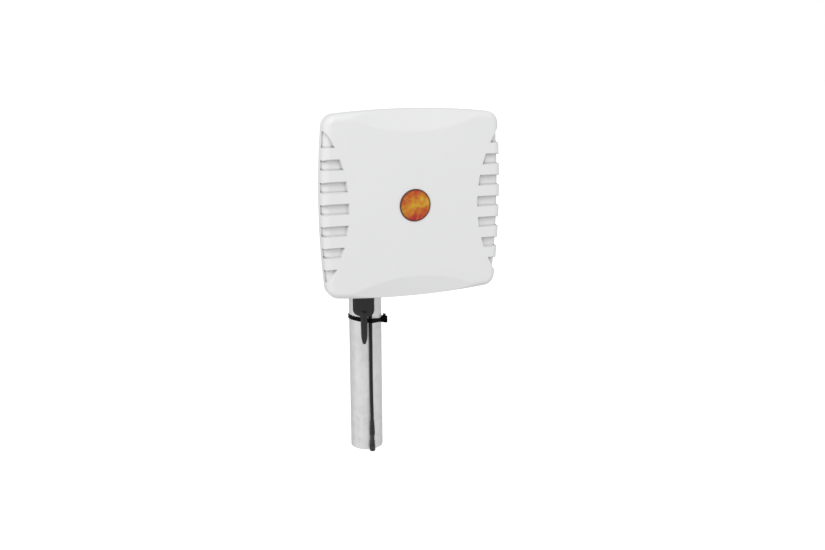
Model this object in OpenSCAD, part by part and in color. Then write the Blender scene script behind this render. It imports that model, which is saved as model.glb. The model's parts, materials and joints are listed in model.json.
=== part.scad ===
// Flat panel antenna on a short length of pipe mast, with a pan and tilt bracket.
// The origin is the centre of the mast's lower end, +Z is up, and the panel faces -Y.

/* [Panel] */
// Width and height of the panel at the middle of its sides
panel_size = 250; // [230:1:260]
// Radius of the gentle bow of each side
side_r = 1100; // [900:50:2000]
// Radius of the outline's corners
corner_r = 13; // [13:1:20]
// Depth of the front cover, from its face to its rim
front_depth = 25; // [24:1:30]
// Depth of the rear cover, from its rim to its back
rear_depth = 17; // [15:1:20]
// Fillet between the face and the sides
edge_r = 10; // [8.5:0.5:11]
// Wall of the covers
wall = 2.5; // [2:0.1:3]

/* [Gills] */
// Number of recesses on each side
gill_count = 7; // [3:2:7]
// Height from one recess to the next
gill_pitch = 28.5; // [26:0.5:29]
// Height of a recess
gill_gap = 14.2; // [10:0.1:18]
// Depth of a recess below the face
gill_depth = 5.5; // [4:0.1:5.5]
// Depth of a recess below the side
gill_side = 2; // [1:0.5:5.5]
// Distance behind the face at which the recesses end on the sides
gill_back = 15; // [14:0.5:21]
// Height of the outermost recesses above or below their middle
gill_last = 15.5; // [7:0.5:16]
// Distance of the recesses' inner ends from the centre line, at mid height
gill_start = 89.6; // [85:0.1:95]
// Radius of the arc on which the inner ends lie
gill_arc_r = 185.7; // [170:0.1:200]

/* [Bevels] */
// Height above the centre at which the upper and lower bevels begin
bevel_start = 96; // [92:0.5:100]
// Radius of the bevel's arc on the face
bevel_arc_r = 215; // [205:5:240]
// Slope of the bevels, in degrees
bevel_slope = 14; // [10:1:16]

/* [Badge] */
// Diameter of the round badge
badge_d = 43; // [35:0.5:50]

/* [Mast] */
// Outer diameter of the mast
mast_d = 48.3; // [48.3:0.1:50]
// Wall of the mast
mast_wall = 2.9; // [2.6:0.1:3.2]
// Length of the mast
mast_len = 480; // [470:1:484]

/* [Bracket] */
// Distance of the panel's centre line to the right of the mast
panel_x = 31; // [31:0.5:31]
// Distance of the panel's face in front of the mast's axis
panel_y = 132; // [132:0.5:136]
// Height of the panel's centre above the mast's lower end
panel_z = 391; // [391:1:391]
// Distance of the tilt axis behind the panel's back
tilt_gap = 18; // [18:0.5:20]
// Distance between the tilt axis and the pan axis
pan_gap = 26; // [26:0.5:27]
// Height of the mast clamp
clamp_h = 50; // [46:1:52]
// Diameter of the pan and tilt bolts
pivot_d = 8; // [8:1:8]

/* [Cable] */
// Outer diameter of the coaxial cable
cable_d = 5; // [5:0.1:5]
// Turns in each of the two layers wound on the mast
coil_turns = 12.5; // [12:0.5:13]
// Width of a cable tie
tie_w = 5; // [4.5:0.1:5.5]

/* [Hidden] */
$fn = 64;
e = 0.01;
mast_r = mast_d / 2;
bore_r = mast_r - mast_wall;
cap_plug = 15;
cap_seat = 0.6; // how much wider the bore is where the cap plugs into it
half = panel_size / 2;
cable_r = cable_d / 2;
panel_depth = front_depth + rear_depth;

// The corner circle touches the two side arcs from inside, and both turn at corner_a.
corner_c = (-(side_r - half) + sqrt(2 * pow(side_r - corner_r, 2) - pow(side_r - half, 2))) / 2;
corner_a = asin(corner_c / (side_r - corner_r));
corner_gap = (90 - 2 * corner_a) / 6;

// Positions of the pivots
back_y = -panel_y + panel_depth;
tilt_y = back_y + tilt_gap;
pan_y = tilt_y + pan_gap;
arm_a = atan2(panel_x, -pan_y);
arm_reach = norm([panel_x, pan_y]);
pivot_r = pivot_d / 2;
knuckle_r = 11;
knuckle_half = 12;
disc_t = 1;
play = 0.3;
cheek_in = knuckle_half + play + disc_t;
cheek_t = 8;
cheek_out = cheek_in + cheek_t;

// Hexagon fasteners: [head across flats, head height, nut height, washer radius, washer thickness]
m8 = [13, 5.3, 8, 8, 1.6];
m6 = [10, 4, 6, 6, 1.2];

// Clamp
jaw_r = mast_r + 0.05;
jaw_out = 34;
jaw_half = 44;
boss_half = 28.5;
split = 3;
clamp_bolt_x = 35;
clamp_bolt_z = 14;
m6_hole = 3.3;
bolt_seat = jaw_out - 4;
nut_seat = split / 2 + 14;

// The rear cover's outer levels: [inset, depth behind its rim]
rear_levels = [[0, 1], [0.8, 4], [4, 8.5], [9, 13.5], [15, rear_depth]];

// Panel fasteners and electronics, in the panel's own coordinates
screw_along = 42;
screw_in = 112;
rim_t = 8;
rim_h = 4;
bracket_half = 30;
bracket_top = 32;
bracket_screw = [22, 25];
plate_t = 4;
reflector_y = front_depth + 1.5;
reflector_t = 1.5;
reflector_half = 95;
board_gap = 6;
board_t = 1.6;
patch_gap = 7;
patch_t = 0.8;
patch_half = 28;
patch_pitch = 92;
gland_z = -58;
gland_len = 24; // from the panel's back to where the free lead begins
vent_at = [62, -62];

// Cable guide and ties
guide_a = -21.7;
guide_bottom = 213.5;
guide_top = 256;
finger_len = 42.5;
tie_t = 1.4;
low_tie_z = 203.5;
high_tie_z = 244;
layer_1 = mast_r + cable_r + 0.15;
layer_2 = layer_1 + cable_d + 0.1;
turn_pitch = 5.1;
coil_low = 287.5;
coil_high = coil_low + coil_turns * turn_pitch;

// Route of the cable: from the gland down behind the panel, then under the windings
loop_tilt_route = [
    [31, -66, 333], [31, -61, 333], [31, -52.4, 331.2], [31, -45.4, 326.4], [31, -40.9, 319.2],
    [31, -39.5, 311], [31, -39.5, 302], [31, -39.5, 293], [31, -39.2, 285]
];
// Direction of the cable where its two loops meet
loops_meet = [0, 1.1, -8.1];
loop_pan_route = [
    [31, -39.2, 285], [31, -37.2, 276.8], [31, -32.2, 270], [31, -25, 266], [30.9, -16.8, 265],
    [30.4, -7.8, 266.5], [28.8, 1.5, 269.3], [25.2, 11.8, 273.2], [18.8, 20.2, 276.9],
    [9.4, 25.9, 280.6], [-2.3, 27.1, 284]
];
// Route of the cable from the windings, under the guide and down the mast
feeder_route = [
    [-24.4, -20.5, 290.5], [-18.4, -26, 289.2], [-11.7, -29.4, 285.5], [-5.9, -30.8, 279.6],
    [-1.9, -30.7, 272.2], [-0.3, -29.6, 264], [0, -28.3, 256.8], [0, -27.3, 250], [0, -26.8, 241],
    [0, -26.8, 200], [0, -26.8, 160], [0, -26.8, 115], [0, -27.2, 90], [0, -28.6, 66],
    [0, -29.2, 50], [0, -29.2, 26]
];
plug_y = -29.2;

// ---------- helpers ----------

// The panel's own coordinates: the middle of the face, with Y backwards
module in_panel() {
    translate([panel_x, -panel_y, panel_z]) children();
}

// The clamp's own coordinates: the mast's axis at the panel's height, with the arm along -Y
module in_clamp() {
    translate([0, 0, panel_z]) rotate([0, 0, arm_a]) children();
}

// The pan and tilt axes, with the bolt along Z
module on_pan_axis() {
    translate([panel_x, pan_y, panel_z]) children();
}
module on_tilt_axis() {
    translate([panel_x, tilt_y, panel_z]) rotate([0, -90, 0]) children();
}

// A shape drawn in X and Z, as thick as from y0 to y1
module slab(y0, y1) {
    translate([0, y1, 0]) rotate([90, 0, 0]) linear_extrude(y1 - y0) children();
}

// A round bar along Y from y0 to y1
module bar(y0, y1, r) {
    translate([0, y0, 0]) rotate([-90, 0, 0]) cylinder(h = y1 - y0, r = r);
}

function arc(cx, cz, r, a0, a1, n) =
    [for (i = [0 : n]) let (a = a0 + (a1 - a0) * i / n) [cx + r * cos(a), cz + r * sin(a)]];

// One quarter of the outline: the right side's arc and the corner after it
function quarter(inset) = concat(
    arc(-(side_r - half), 0, side_r - inset, -corner_a, corner_a, 6),
    arc(corner_c, corner_c, max(corner_r - inset, 0.5), corner_a + corner_gap,
        90 - corner_a - corner_gap, 4)
);
function turned(points, a) =
    [for (p = points) [p.x * cos(a) - p.y * sin(a), p.x * sin(a) + p.y * cos(a)]];
function outline(inset) = [for (q = [0 : 3], p = turned(quarter(inset), 90 * q)) p];

// The panel's outer form, or a copy of it set inwards, back to a given depth
module form(inset, back, steps = 4, face = 0) {
    r = edge_r - inset;
    front = face > 0 ? face : inset;
    hull() {
        for (i = [0 : steps]) {
            a = 90 * i / steps;
            slab(front + r * (1 - sin(a)), back) polygon(outline(inset + r * (1 - cos(a))));
        }
    }
}

// The bevels' cutter: a leaning cylinder that meets the face in an arc
module bevel_cut(lift = 0) {
    lean_r = bevel_arc_r / sin(bevel_slope);
    for (m = [0, 1]) {
        mirror([0, 0, m])
            translate([0, lift, bevel_start])
                rotate([-bevel_slope, 0, 0])
                    translate([0, -lean_r, -60])
                        cylinder(h = 160, r = lean_r, $fn = 256);
    }
}

// The zones beyond the two arcs on which the recesses end
module gill_zone(grow = 0) {
    for (s = [-1, 1]) {
        translate([s * (gill_start + gill_arc_r), 0, 0])
            bar(-5, front_depth + 5, gill_arc_r + grow, $fn = 128);
    }
}

module hex_bolt(size, dia, length) {
    cylinder(h = size[1], r = size[0] / 2 / cos(30), $fn = 6);
    translate([0, 0, -length]) cylinder(h = length + e, r = dia / 2);
}

module hex_nut(size, dia) {
    difference() {
        cylinder(h = size[2], r = size[0] / 2 / cos(30), $fn = 6);
        translate([0, 0, -1]) cylinder(h = size[2] + 2, r = dia / 2 + 0.05);
    }
}

module ring(h, r_out, r_in) {
    difference() {
        cylinder(h = h, r = r_out);
        translate([0, 0, -1]) cylinder(h = h + 2, r = r_in);
    }
}

// Positions of the cover screws around the rim
module at_cover_screws() {
    for (q = [0 : 3], s = [-1, 1]) {
        rotate([0, 90 * q, 0]) translate([screw_in, 0, s * screw_along]) children();
    }
}

module at_corners(x, z) {
    for (sx = [-1, 1], sz = [-1, 1]) {
        translate([sx * x, 0, sz * z]) children();
    }
}

// A round cord along a route: Catmull-Rom between the points, with 8 or 10 sides
function along(p, i, t) =
    let (
        a = p[max(i - 1, 0)], b = p[i], c = p[i + 1], d = p[min(i + 2, len(p) - 1)]
    )
    0.5 * ((2 * b) + (c - a) * t + (2 * a - 5 * b + 4 * c - d) * t * t
        + (3 * b - a - 3 * c + d) * t * t * t);
function route_points(p, step) = concat(
    [for (i = [0 : len(p) - 2])
        let (n = max(1, round(norm(p[i + 1] - p[i]) / step)))
        for (k = [0 : n - 1]) along(p, i, k / n)],
    [p[len(p) - 1]]
);
function unit(v) = v / norm(v);
module cord(route, dia, side, step = 10, sides = 8, first = 0, last = 0) {
    pts = route_points(route, step);
    n = len(pts);
    rings = [for (i = [0 : n - 1])
        let (
            way = pts[min(i + 1, n - 1)] - pts[max(i - 1, 0)],
            t = unit(i == 0 && first != 0 ? first : i == n - 1 && last != 0 ? last : way),
            u = unit(cross(t, side)),
            v = cross(t, u)
        )
        for (k = [0 : sides - 1])
            pts[i] + dia / 2 * (u * cos(360 * k / sides) + v * sin(360 * k / sides))];
    skin = [for (i = [0 : n - 2], k = [0 : sides - 1])
        let (a = i * sides + k, b = i * sides + (k + 1) % sides)
        [a, b, b + sides, a + sides]];
    ends = [
        [for (k = [sides - 1 : -1 : 0]) k],
        [for (k = [0 : sides - 1]) (n - 1) * sides + k]
    ];
    polyhedron(points = rings, faces = concat(skin, ends));
}

// The section of a tie that is drawn round the mast and over the cable beside it
module tie_section(grow, over_guide) {
    hull() {
        circle(r = mast_r + 0.1 + grow, $fn = 48);
        translate([0, -layer_1]) circle(r = cable_r + 0.1 + grow, $fn = 24);
        if (over_guide) {
            rotate(guide_a) translate([0, -mast_r - 0.9]) square([9, 2 + 2 * grow], center = true);
        }
    }
}

module tie(z, over_guide, head_a) {
    translate([0, 0, z]) {
        difference() {
            union() {
                linear_extrude(tie_w) tie_section(tie_t, over_guide);
                rotate([0, 0, head_a])
                    translate([-3.5, -mast_r - 9, -1.8])
                        cube([7, 9, tie_w + 3.6]);
                rotate([0, 0, head_a - 8])
                    translate([-0.7, -mast_r - 6.5, 0.3])
                        rotate([0, 25, 0])
                            translate([0, 0, 3])
                                cube([1.3, 4.4, 7]);
            }
            translate([0, 0, -5]) linear_extrude(tie_w + 10) tie_section(0, over_guide);
        }
    }
}

// ---------- panel ----------

// The white cover: a shell with a thicker rim, solid ribs between the gills, and screw bosses
module front_cover() {
    color("whitesmoke") in_panel() {
        difference() {
            form(0, front_depth);
            bevel_cut();
            // inside of the shell, away from the ribs and the bevels
            difference() {
                form(wall, front_depth - rim_h, 2);
                gill_zone(wall);
                bevel_cut(wall);
                at_cover_screws() bar(0, front_depth, 4);
            }
            // inside of the shell behind the recesses, and through the rim
            difference() {
                form(gill_depth + wall, front_depth + 1, 2);
                bevel_cut(wall);
                at_cover_screws() bar(0, front_depth, 4);
            }
            at_cover_screws() bar(front_depth - 14, front_depth + 1, 1.6, $fn = 24);
            // the gills
            difference() {
                intersection() {
                    gill_zone();
                    for (k = [0 : gill_count - 1]) {
                        z = (k - (gill_count - 1) / 2) * gill_pitch;
                        low = k == 0 ? gill_last : gill_gap / 2;
                        high = k == gill_count - 1 ? gill_last : gill_gap / 2;
                        translate([-140, -5, z - low]) cube([280, gill_back + 5, low + high]);
                    }
                }
                form(gill_side, front_depth, 4, gill_depth);
            }
        }
    }
}

// A slightly domed disc stuck on the face
module badge() {
    color("darkorange") in_panel() {
        translate([0, -0.02, 0]) rotate([90, 0, 0]) {
            rotate_extrude($fn = 96)
                polygon([[0, 0], [badge_d / 2, 0], [badge_d / 2, 0.7], [badge_d / 2 - 0.6, 1.1],
                    [badge_d / 4, 1.45], [0, 1.6]]);
        }
    }
}

module cover_gasket() {
    color("dimgray") in_panel() {
        slab(front_depth, front_depth + 1) difference() {
            polygon(outline(3));
            polygon(outline(5.5));
        }
    }
}

// The rear cover's tapering form, or a copy of it set inwards
module rear_form(grow, front = front_depth) {
    hull() {
        for (l = rear_levels) {
            slab(front, front_depth + max(l[1] - grow, 0)) polygon(outline(l[0] + grow));
        }
    }
}

module rear_cover() {
    color("gainsboro") in_panel() {
        difference() {
            rear_form(0);
            difference() {
                intersection() {
                    rear_form(wall, front_depth - 1);
                    slab(front_depth - 1, panel_depth) polygon(outline(rim_t));
                }
                at_cover_screws() bar(front_depth, panel_depth, 7);
                at_corners(bracket_screw[0], bracket_screw[1])
                    bar(reflector_y + reflector_t, panel_depth, 5);
                at_corners(reflector_half - 8, reflector_half - 8)
                    bar(reflector_y + reflector_t, panel_depth, 4);
            }
            slab(front_depth - 1, front_depth + 1) difference() {
                polygon(outline(2.9));
                polygon(outline(5.6));
            }
            at_cover_screws() bar(front_depth - 1, panel_depth, 2.1, $fn = 24);
            at_cover_screws() bar(front_depth + 6, panel_depth + 1, 5);
            at_corners(bracket_screw[0], bracket_screw[1])
                bar(panel_depth - 12, panel_depth + 1, 2.6, $fn = 32);
            at_corners(reflector_half - 8, reflector_half - 8)
                bar(front_depth, reflector_y + 10, 1.6, $fn = 24);
            translate([0, 0, gland_z]) bar(front_depth, panel_depth + 1, 6.1);
            translate([vent_at[0], 0, vent_at[1]]) bar(front_depth, panel_depth + 1, 4.1);
        }
    }
}

module cover_screws() {
    color("silver") in_panel() at_cover_screws() {
        difference() {
            union() {
                bar(front_depth + 3, front_depth + 6 + e, 2, $fn = 24);
                bar(front_depth - 10, front_depth + 3 + e, 1.55, $fn = 24);
                bar(front_depth + 6, front_depth + 8.6, 4, $fn = 32);
            }
            bar(front_depth + 7, front_depth + 9, 1.7, $fn = 6);
        }
    }
}

module reflector_plate() {
    color("lightsteelblue") in_panel() {
        difference() {
            slab(reflector_y, reflector_y + reflector_t) square(2 * reflector_half, center = true);
            at_corners(reflector_half - 8, reflector_half - 8)
                bar(reflector_y - 1, reflector_y + 5, 1.9, $fn = 24);
            at_corners(40, 40) bar(reflector_y - 1, reflector_y + 5, 1.6, $fn = 24);
            translate([0, 0, gland_z]) bar(reflector_y - 1, reflector_y + 5, 3, $fn = 24);
        }
    }
}

module reflector_screws() {
    color("silver") in_panel() at_corners(reflector_half - 8, reflector_half - 8) {
        bar(reflector_y - 2.4, reflector_y, 3.2, $fn = 32);
        bar(reflector_y - e, reflector_y + 8, 1.55, $fn = 24);
    }
}

// Standoffs between the reflector and the board, each with a snap pin in the reflector
module board_spacers() {
    color("ivory") in_panel() at_corners(40, 40) {
        bar(reflector_y - board_gap, reflector_y, 3.5, $fn = 32);
        bar(reflector_y - e, reflector_y + reflector_t, 1.5, $fn = 24);
    }
}

module feed_board() {
    board_back = reflector_y - board_gap;
    color("seagreen") in_panel() {
        difference() {
            slab(board_back - board_t, board_back) square(170, center = true);
            translate([0, 0, gland_z]) bar(board_back - 3, board_back + 1, 0.6, $fn = 24);
            at_corners(patch_pitch / 2, patch_pitch / 2)
                bar(board_back - 3, board_back + 1, 1.6, $fn = 24);
        }
    }
}

module patch_spacers() {
    board_front = reflector_y - board_gap - board_t;
    color("ivory") in_panel() at_corners(patch_pitch / 2, patch_pitch / 2) {
        bar(board_front - patch_gap, board_front, 3.5, $fn = 32);
        bar(board_front - e, board_front + board_t, 1.5, $fn = 24);
    }
}

module radiating_patches() {
    patch_back = reflector_y - board_gap - board_t - patch_gap;
    color("goldenrod") in_panel() at_corners(patch_pitch / 2, patch_pitch / 2) {
        slab(patch_back - patch_t, patch_back) square(2 * patch_half, center = true);
    }
}

// The lead's first length: its core in the board, and its jacket out through the gland
module inner_lead() {
    board_back = reflector_y - board_gap;
    color("black") in_panel() translate([0, 0, gland_z]) {
        bar(board_back + 0.1, panel_depth + gland_len, 2.45, $fn = 32);
        bar(board_back - board_t - 1, board_back + 0.1 + e, 0.5, $fn = 24);
    }
}

module gland_body() {
    color("dimgray") in_panel() translate([0, 0, gland_z]) {
        difference() {
            union() {
                bar(panel_depth - 5, panel_depth + 8, 6, $fn = 48);
                translate([0, panel_depth, 0]) rotate([-90, 0, 0]) cylinder(h = 4, r = 8.6, $fn = 6);
            }
            bar(panel_depth - 6, panel_depth + 9, 2.5, $fn = 32);
        }
    }
}

// The rubber sleeve in the gland, with a tapered tail that relieves the cable
module gland_seal() {
    color("black") in_panel() translate([0, 0, gland_z]) {
        rotate([-90, 0, 0]) translate([0, 0, panel_depth + 8]) {
            rotate_extrude($fn = 48)
                polygon([[2.6, 0], [5, 0], [5, 4], [4.4, 8], [3.4, 24], [2.6, 24]]);
        }
    }
}

module gland_nut() {
    color("dimgray") in_panel() translate([0, 0, gland_z]) {
        difference() {
            union() {
                translate([0, panel_depth + 4.2, 0])
                    rotate([-90, 0, 0]) cylinder(h = 7, r = 8, $fn = 6);
                bar(panel_depth + 11, panel_depth + 13, 6.5, $fn = 48);
            }
            bar(panel_depth + 4, panel_depth + 12, 6.05, $fn = 48);
            bar(panel_depth + 11, panel_depth + 14, 5.3, $fn = 48);
        }
    }
}

// The breathing plug beside the gland
module vent_plug() {
    color("dimgray") in_panel() translate([vent_at[0], 0, vent_at[1]]) {
        bar(panel_depth, panel_depth + 2.5, 7, $fn = 48);
        bar(panel_depth - 4, panel_depth + e, 4, $fn = 32);
    }
}

// ---------- bracket ----------

// The panel's half of the bracket: a plate with two cheeks on the tilt axis
module tilt_bracket() {
    color("darkslategray") {
        in_panel() difference() {
            slab(panel_depth, panel_depth + plate_t)
                union() {
                    square([2 * bracket_half, 2 * bracket_top - 10], center = true);
                    square([2 * bracket_half - 10, 2 * bracket_top], center = true);
                    for (sx = [-1, 1], sz = [-1, 1]) {
                        translate([sx * (bracket_half - 5), sz * (bracket_top - 5)])
                            circle(r = 5, $fn = 32);
                    }
                }
            at_corners(bracket_screw[0], bracket_screw[1])
                bar(panel_depth - 1, panel_depth + plate_t + 1, 2.75, $fn = 32);
        }
        for (s = [0, 1]) {
            translate([panel_x, 0, panel_z]) mirror([s, 0, 0]) translate([cheek_in, 0, 0])
                rotate([90, 0, 90])
                    linear_extrude(cheek_t)
                        difference() {
                            union() {
                                translate([tilt_y, 0]) circle(r = knuckle_r);
                                polygon([
                                    [back_y + plate_t - e, -20], [back_y + plate_t + 2, -16],
                                    [tilt_y, -knuckle_r], [tilt_y, knuckle_r],
                                    [back_y + plate_t + 2, 16], [back_y + plate_t - e, 20]
                                ]);
                            }
                            translate([tilt_y, 0]) circle(r = pivot_r + 0.2);
                        }
        }
    }
}

module bracket_screws() {
    head_y = panel_depth + plate_t;
    color("silver") in_panel() at_corners(bracket_screw[0], bracket_screw[1]) {
        difference() {
            union() {
                bar(head_y, head_y + 4, 4.2, $fn = 32);
                bar(head_y - 14, head_y + e, 2.5, $fn = 32);
            }
            bar(head_y + 1.5, head_y + 5, 2.2, $fn = 6);
        }
    }
}

module tilt_bolt() {
    color("silver") on_tilt_axis() translate([0, 0, cheek_out + m8[4]])
        hex_bolt(m8, pivot_d - 0.04, 2 * (cheek_out + m8[4]) + m8[2] + 3);
}
module tilt_nut() {
    color("silver") on_tilt_axis() translate([0, 0, -cheek_out - m8[4] - m8[2]])
        hex_nut(m8, pivot_d);
}
module tilt_washers() {
    color("lightgray") on_tilt_axis() {
        translate([0, 0, cheek_out]) ring(m8[4], m8[3], pivot_r + 0.2);
        translate([0, 0, -cheek_out - m8[4]]) ring(m8[4], m8[3], pivot_r + 0.2);
    }
}
module tilt_discs() {
    color("ivory") on_tilt_axis() {
        translate([0, 0, cheek_in - disc_t]) ring(disc_t, knuckle_r - 1, pivot_r + 0.2);
        translate([0, 0, -cheek_in]) ring(disc_t, knuckle_r - 1, pivot_r + 0.2);
    }
}

// The block between the two pivots, with crossed bores
module swivel() {
    color("darkslategray") {
        difference() {
            union() {
                on_pan_axis() translate([0, 0, -knuckle_half])
                    cylinder(h = 2 * knuckle_half, r = knuckle_r);
                on_tilt_axis() translate([0, 0, -knuckle_half])
                    cylinder(h = 2 * knuckle_half, r = knuckle_r);
                translate([panel_x - 8, tilt_y, panel_z - 9])
                    cube([16, pan_gap, 18]);
            }
            on_pan_axis() translate([0, 0, -knuckle_half - 1])
                cylinder(h = 2 * knuckle_half + 2, r = pivot_r + 0.05);
            on_tilt_axis() translate([0, 0, -knuckle_half - 1])
                cylinder(h = 2 * knuckle_half + 2, r = pivot_r + 0.05);
        }
    }
}

// ---------- mast and clamp ----------

module mast_tube() {
    color("lightgray") difference() {
        ring(mast_len, mast_r, bore_r);
        translate([0, 0, mast_len - cap_plug - 1]) cylinder(h = cap_plug + 2, r = bore_r + cap_seat);
    }
}

module mast_cap() {
    color("black") translate([0, 0, mast_len]) {
        difference() {
            union() {
                cylinder(h = 3, r = mast_r);
                translate([0, 0, 3 - e]) cylinder(h = 2, r1 = mast_r, r2 = mast_r - 4);
                translate([0, 0, -cap_plug]) cylinder(h = cap_plug + e, r = bore_r + cap_seat - 0.1);
            }
            translate([0, 0, -cap_plug - 1]) cylinder(h = cap_plug + 1, r = bore_r - 2.5);
        }
    }
}

module clamp_holes() {
    for (sx = [-1, 1], sz = [-1, 1]) {
        translate([sx * clamp_bolt_x, 0, sz * clamp_bolt_z]) bar(-60, 60, m6_hole, $fn = 32);
    }
}
// The clamp's front half, with the forked arm that carries the pan bolt
module clamp_arm() {
    color("darkslategray") in_clamp() {
        difference() {
            union() {
                translate([-jaw_half, -jaw_out + 4, -clamp_h / 2])
                    cube([2 * jaw_half, jaw_out - 4 - split / 2, clamp_h]);
                translate([-boss_half, -jaw_out, -clamp_h / 2])
                    cube([2 * boss_half, 5, clamp_h]);
                for (s = [0, 1]) {
                    mirror([0, 0, s]) translate([0, 0, cheek_in]) linear_extrude(cheek_t) {
                        translate([0, -arm_reach]) circle(r = knuckle_r + 1);
                        polygon([
                            [-knuckle_r - 1, -arm_reach], [knuckle_r + 1, -arm_reach],
                            [22, -jaw_out + e], [-22, -jaw_out + e]
                        ]);
                    }
                }
                translate([-16, -arm_reach + knuckle_r + 4, -cheek_in - e])
                    cube([32, arm_reach - knuckle_r - 4 - jaw_out + e, 2 * cheek_in + 2 * e]);
            }
            translate([0, 0, -clamp_h]) cylinder(h = 2 * clamp_h, r = jaw_r, $fn = 128);
            translate([0, -arm_reach, -clamp_h]) cylinder(h = 2 * clamp_h, r = pivot_r + 0.2);
            clamp_holes();
        }
    }
}

// The clamp's rear half
module clamp_jaw() {
    color("darkslategray") in_clamp() {
        difference() {
            union() {
                translate([-jaw_half, split / 2, -clamp_h / 2])
                    cube([2 * jaw_half, 14, clamp_h]);
                translate([-boss_half, split / 2, -clamp_h / 2])
                    cube([2 * boss_half, 30, clamp_h]);
            }
            translate([0, 0, -clamp_h]) cylinder(h = 2 * clamp_h, r = jaw_r, $fn = 128);
            clamp_holes();
        }
    }
}

module at_clamp_bolts() {
    in_clamp() for (sx = [-1, 1], sz = [-1, 1]) {
        translate([sx * clamp_bolt_x, 0, sz * clamp_bolt_z]) rotate([90, 0, 0]) children();
    }
}
module clamp_bolts() {
    color("silver") at_clamp_bolts() translate([0, 0, bolt_seat + m6[4]])
        hex_bolt(m6, 6, bolt_seat + nut_seat + 2 * m6[4] + m6[2] + 3);
}
module clamp_nuts() {
    color("silver") at_clamp_bolts() translate([0, 0, -nut_seat - m6[4] - m6[2]])
        hex_nut(m6, 6);
}
module clamp_washers() {
    color("lightgray") at_clamp_bolts() {
        translate([0, 0, bolt_seat]) ring(m6[4], m6[3], 3.2);
        translate([0, 0, -nut_seat - m6[4]]) ring(m6[4], m6[3], 3.2);
    }
}

module pan_bolt() {
    color("silver") on_pan_axis() translate([0, 0, cheek_out + m8[4]])
        hex_bolt(m8, pivot_d - 0.04, 2 * (cheek_out + m8[4]) + m8[2] + 3);
}
module pan_nut() {
    color("silver") on_pan_axis() translate([0, 0, -cheek_out - m8[4] - m8[2]])
        hex_nut(m8, pivot_d);
}
module pan_washers() {
    color("lightgray") on_pan_axis() {
        translate([0, 0, cheek_out]) ring(m8[4], m8[3], pivot_r + 0.2);
        translate([0, 0, -cheek_out - m8[4]]) ring(m8[4], m8[3], pivot_r + 0.2);
    }
}
module pan_discs() {
    color("ivory") on_pan_axis() {
        translate([0, 0, cheek_in - disc_t]) ring(disc_t, knuckle_r - 1, pivot_r + 0.2);
        translate([0, 0, -cheek_in]) ring(disc_t, knuckle_r - 1, pivot_r + 0.2);
    }
}

// ---------- cable ----------

// A moulded saddle on the mast with a channel for the cable, and a tapered finger below it
module cable_guide() {
    guide_h = guide_top - guide_bottom;
    color("dimgray") difference() {
        rotate([0, 0, guide_a]) {
            translate([-15.5, -30.5, guide_bottom + 4]) cube([31, 12, guide_h - 4]);
            translate([-11.5, -30.5, guide_bottom]) cube([23, 12, guide_h]);
            translate([-12.5, -34, guide_bottom + 4]) cube([25, 5, guide_h - 4]);
            translate([-9, -34, guide_bottom]) cube([18, 5, guide_h]);
            for (s = [-1, 1]) {
                translate([s * 11.5, -18.5, guide_bottom + 4]) rotate([90, 0, 0])
                    cylinder(h = 12, r = 4, $fn = 32);
                translate([s * 8.5, -29, guide_bottom + 4]) rotate([90, 0, 0])
                    cylinder(h = 5, r = 4, $fn = 32);
            }
            // finger, and the heel behind it that the tie holds
            hull() {
                translate([-4.5, -34, guide_bottom + 2]) cube([9, 5, 4]);
                translate([-3.6, -32.5, guide_bottom - 24]) cube([7.2, 3.5, 1]);
                translate([0, -29.5, guide_bottom - finger_len + 2]) rotate([90, 0, 0])
                    cylinder(h = 2, r = 2, $fn = 24);
            }
            translate([-4.2, -25.8, guide_bottom - 15]) cube([8.4, 4, 21]);
        }
        translate([0, 0, guide_bottom - 60]) cylinder(h = 120, r = mast_r + 0.1, $fn = 96);
        // channel for the cable
        hull() {
            translate([0, -layer_1, guide_bottom - 1]) cylinder(h = 1, r = cable_r + 0.3, $fn = 32);
            translate([0, -layer_1 - 1.4, guide_top + 1]) cylinder(h = 1, r = cable_r + 0.5, $fn = 32);
            translate([0, -layer_1 + 4, guide_bottom - 1]) cylinder(h = 1, r = cable_r + 0.3, $fn = 32);
            translate([0, -layer_1 + 4, guide_top + 1]) cylinder(h = 1, r = cable_r + 0.5, $fn = 32);
        }
        // slot for the upper tie
        translate([0, 0, high_tie_z - 0.4]) linear_extrude(tie_w + 0.8) difference() {
            tie_section(tie_t + 0.4, false);
            tie_section(-0.3, false);
        }
    }
}

module cable_ties() {
    color("black") {
        tie(low_tie_z, true, 70);
        tie(high_tie_z, false, 100);
    }
}

// Two wider ties round the windings
module coil_ties() {
    color("black") for (z = [coil_low + 12, coil_high - 18]) {
        translate([0, 0, z]) difference() {
            union() {
                cylinder(h = tie_w, r = layer_2 + cable_r + 0.3 + tie_t);
                rotate([0, 0, 160]) translate([-3.5, -layer_2 - cable_r - 8, -1.8])
                    cube([7, 8, tie_w + 3.6]);
            }
            translate([0, 0, -5]) cylinder(h = tie_w + 10, r = layer_2 + cable_r + 0.3);
        }
    }
}

module cable_loop_tilt() {
    color("black") cord(loop_tilt_route, cable_d, [1, 0, 0], last = loops_meet);
}
module cable_loop_pan() {
    color("black") cord(loop_pan_route, cable_d, [0.3, 0, 1], first = loops_meet);
}

// The windings' outer shape
module cable_coil() {
    color("black") rotate_extrude($fn = 96)
        polygon([
            [mast_r + 0.1, coil_low - cable_r], [layer_1 + cable_r, coil_low - cable_r],
            [layer_2 + cable_r, coil_low + 1], [layer_2 + cable_r, coil_high + cable_r],
            [mast_r + 0.1, coil_high + cable_r]
        ]);
}

module feeder_cable() {
    color("black") cord(feeder_route, cable_d, [0.6, 1, 0.2]);
}

module in_plug() {
    translate([0, plug_y, 0]) children();
}

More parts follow.
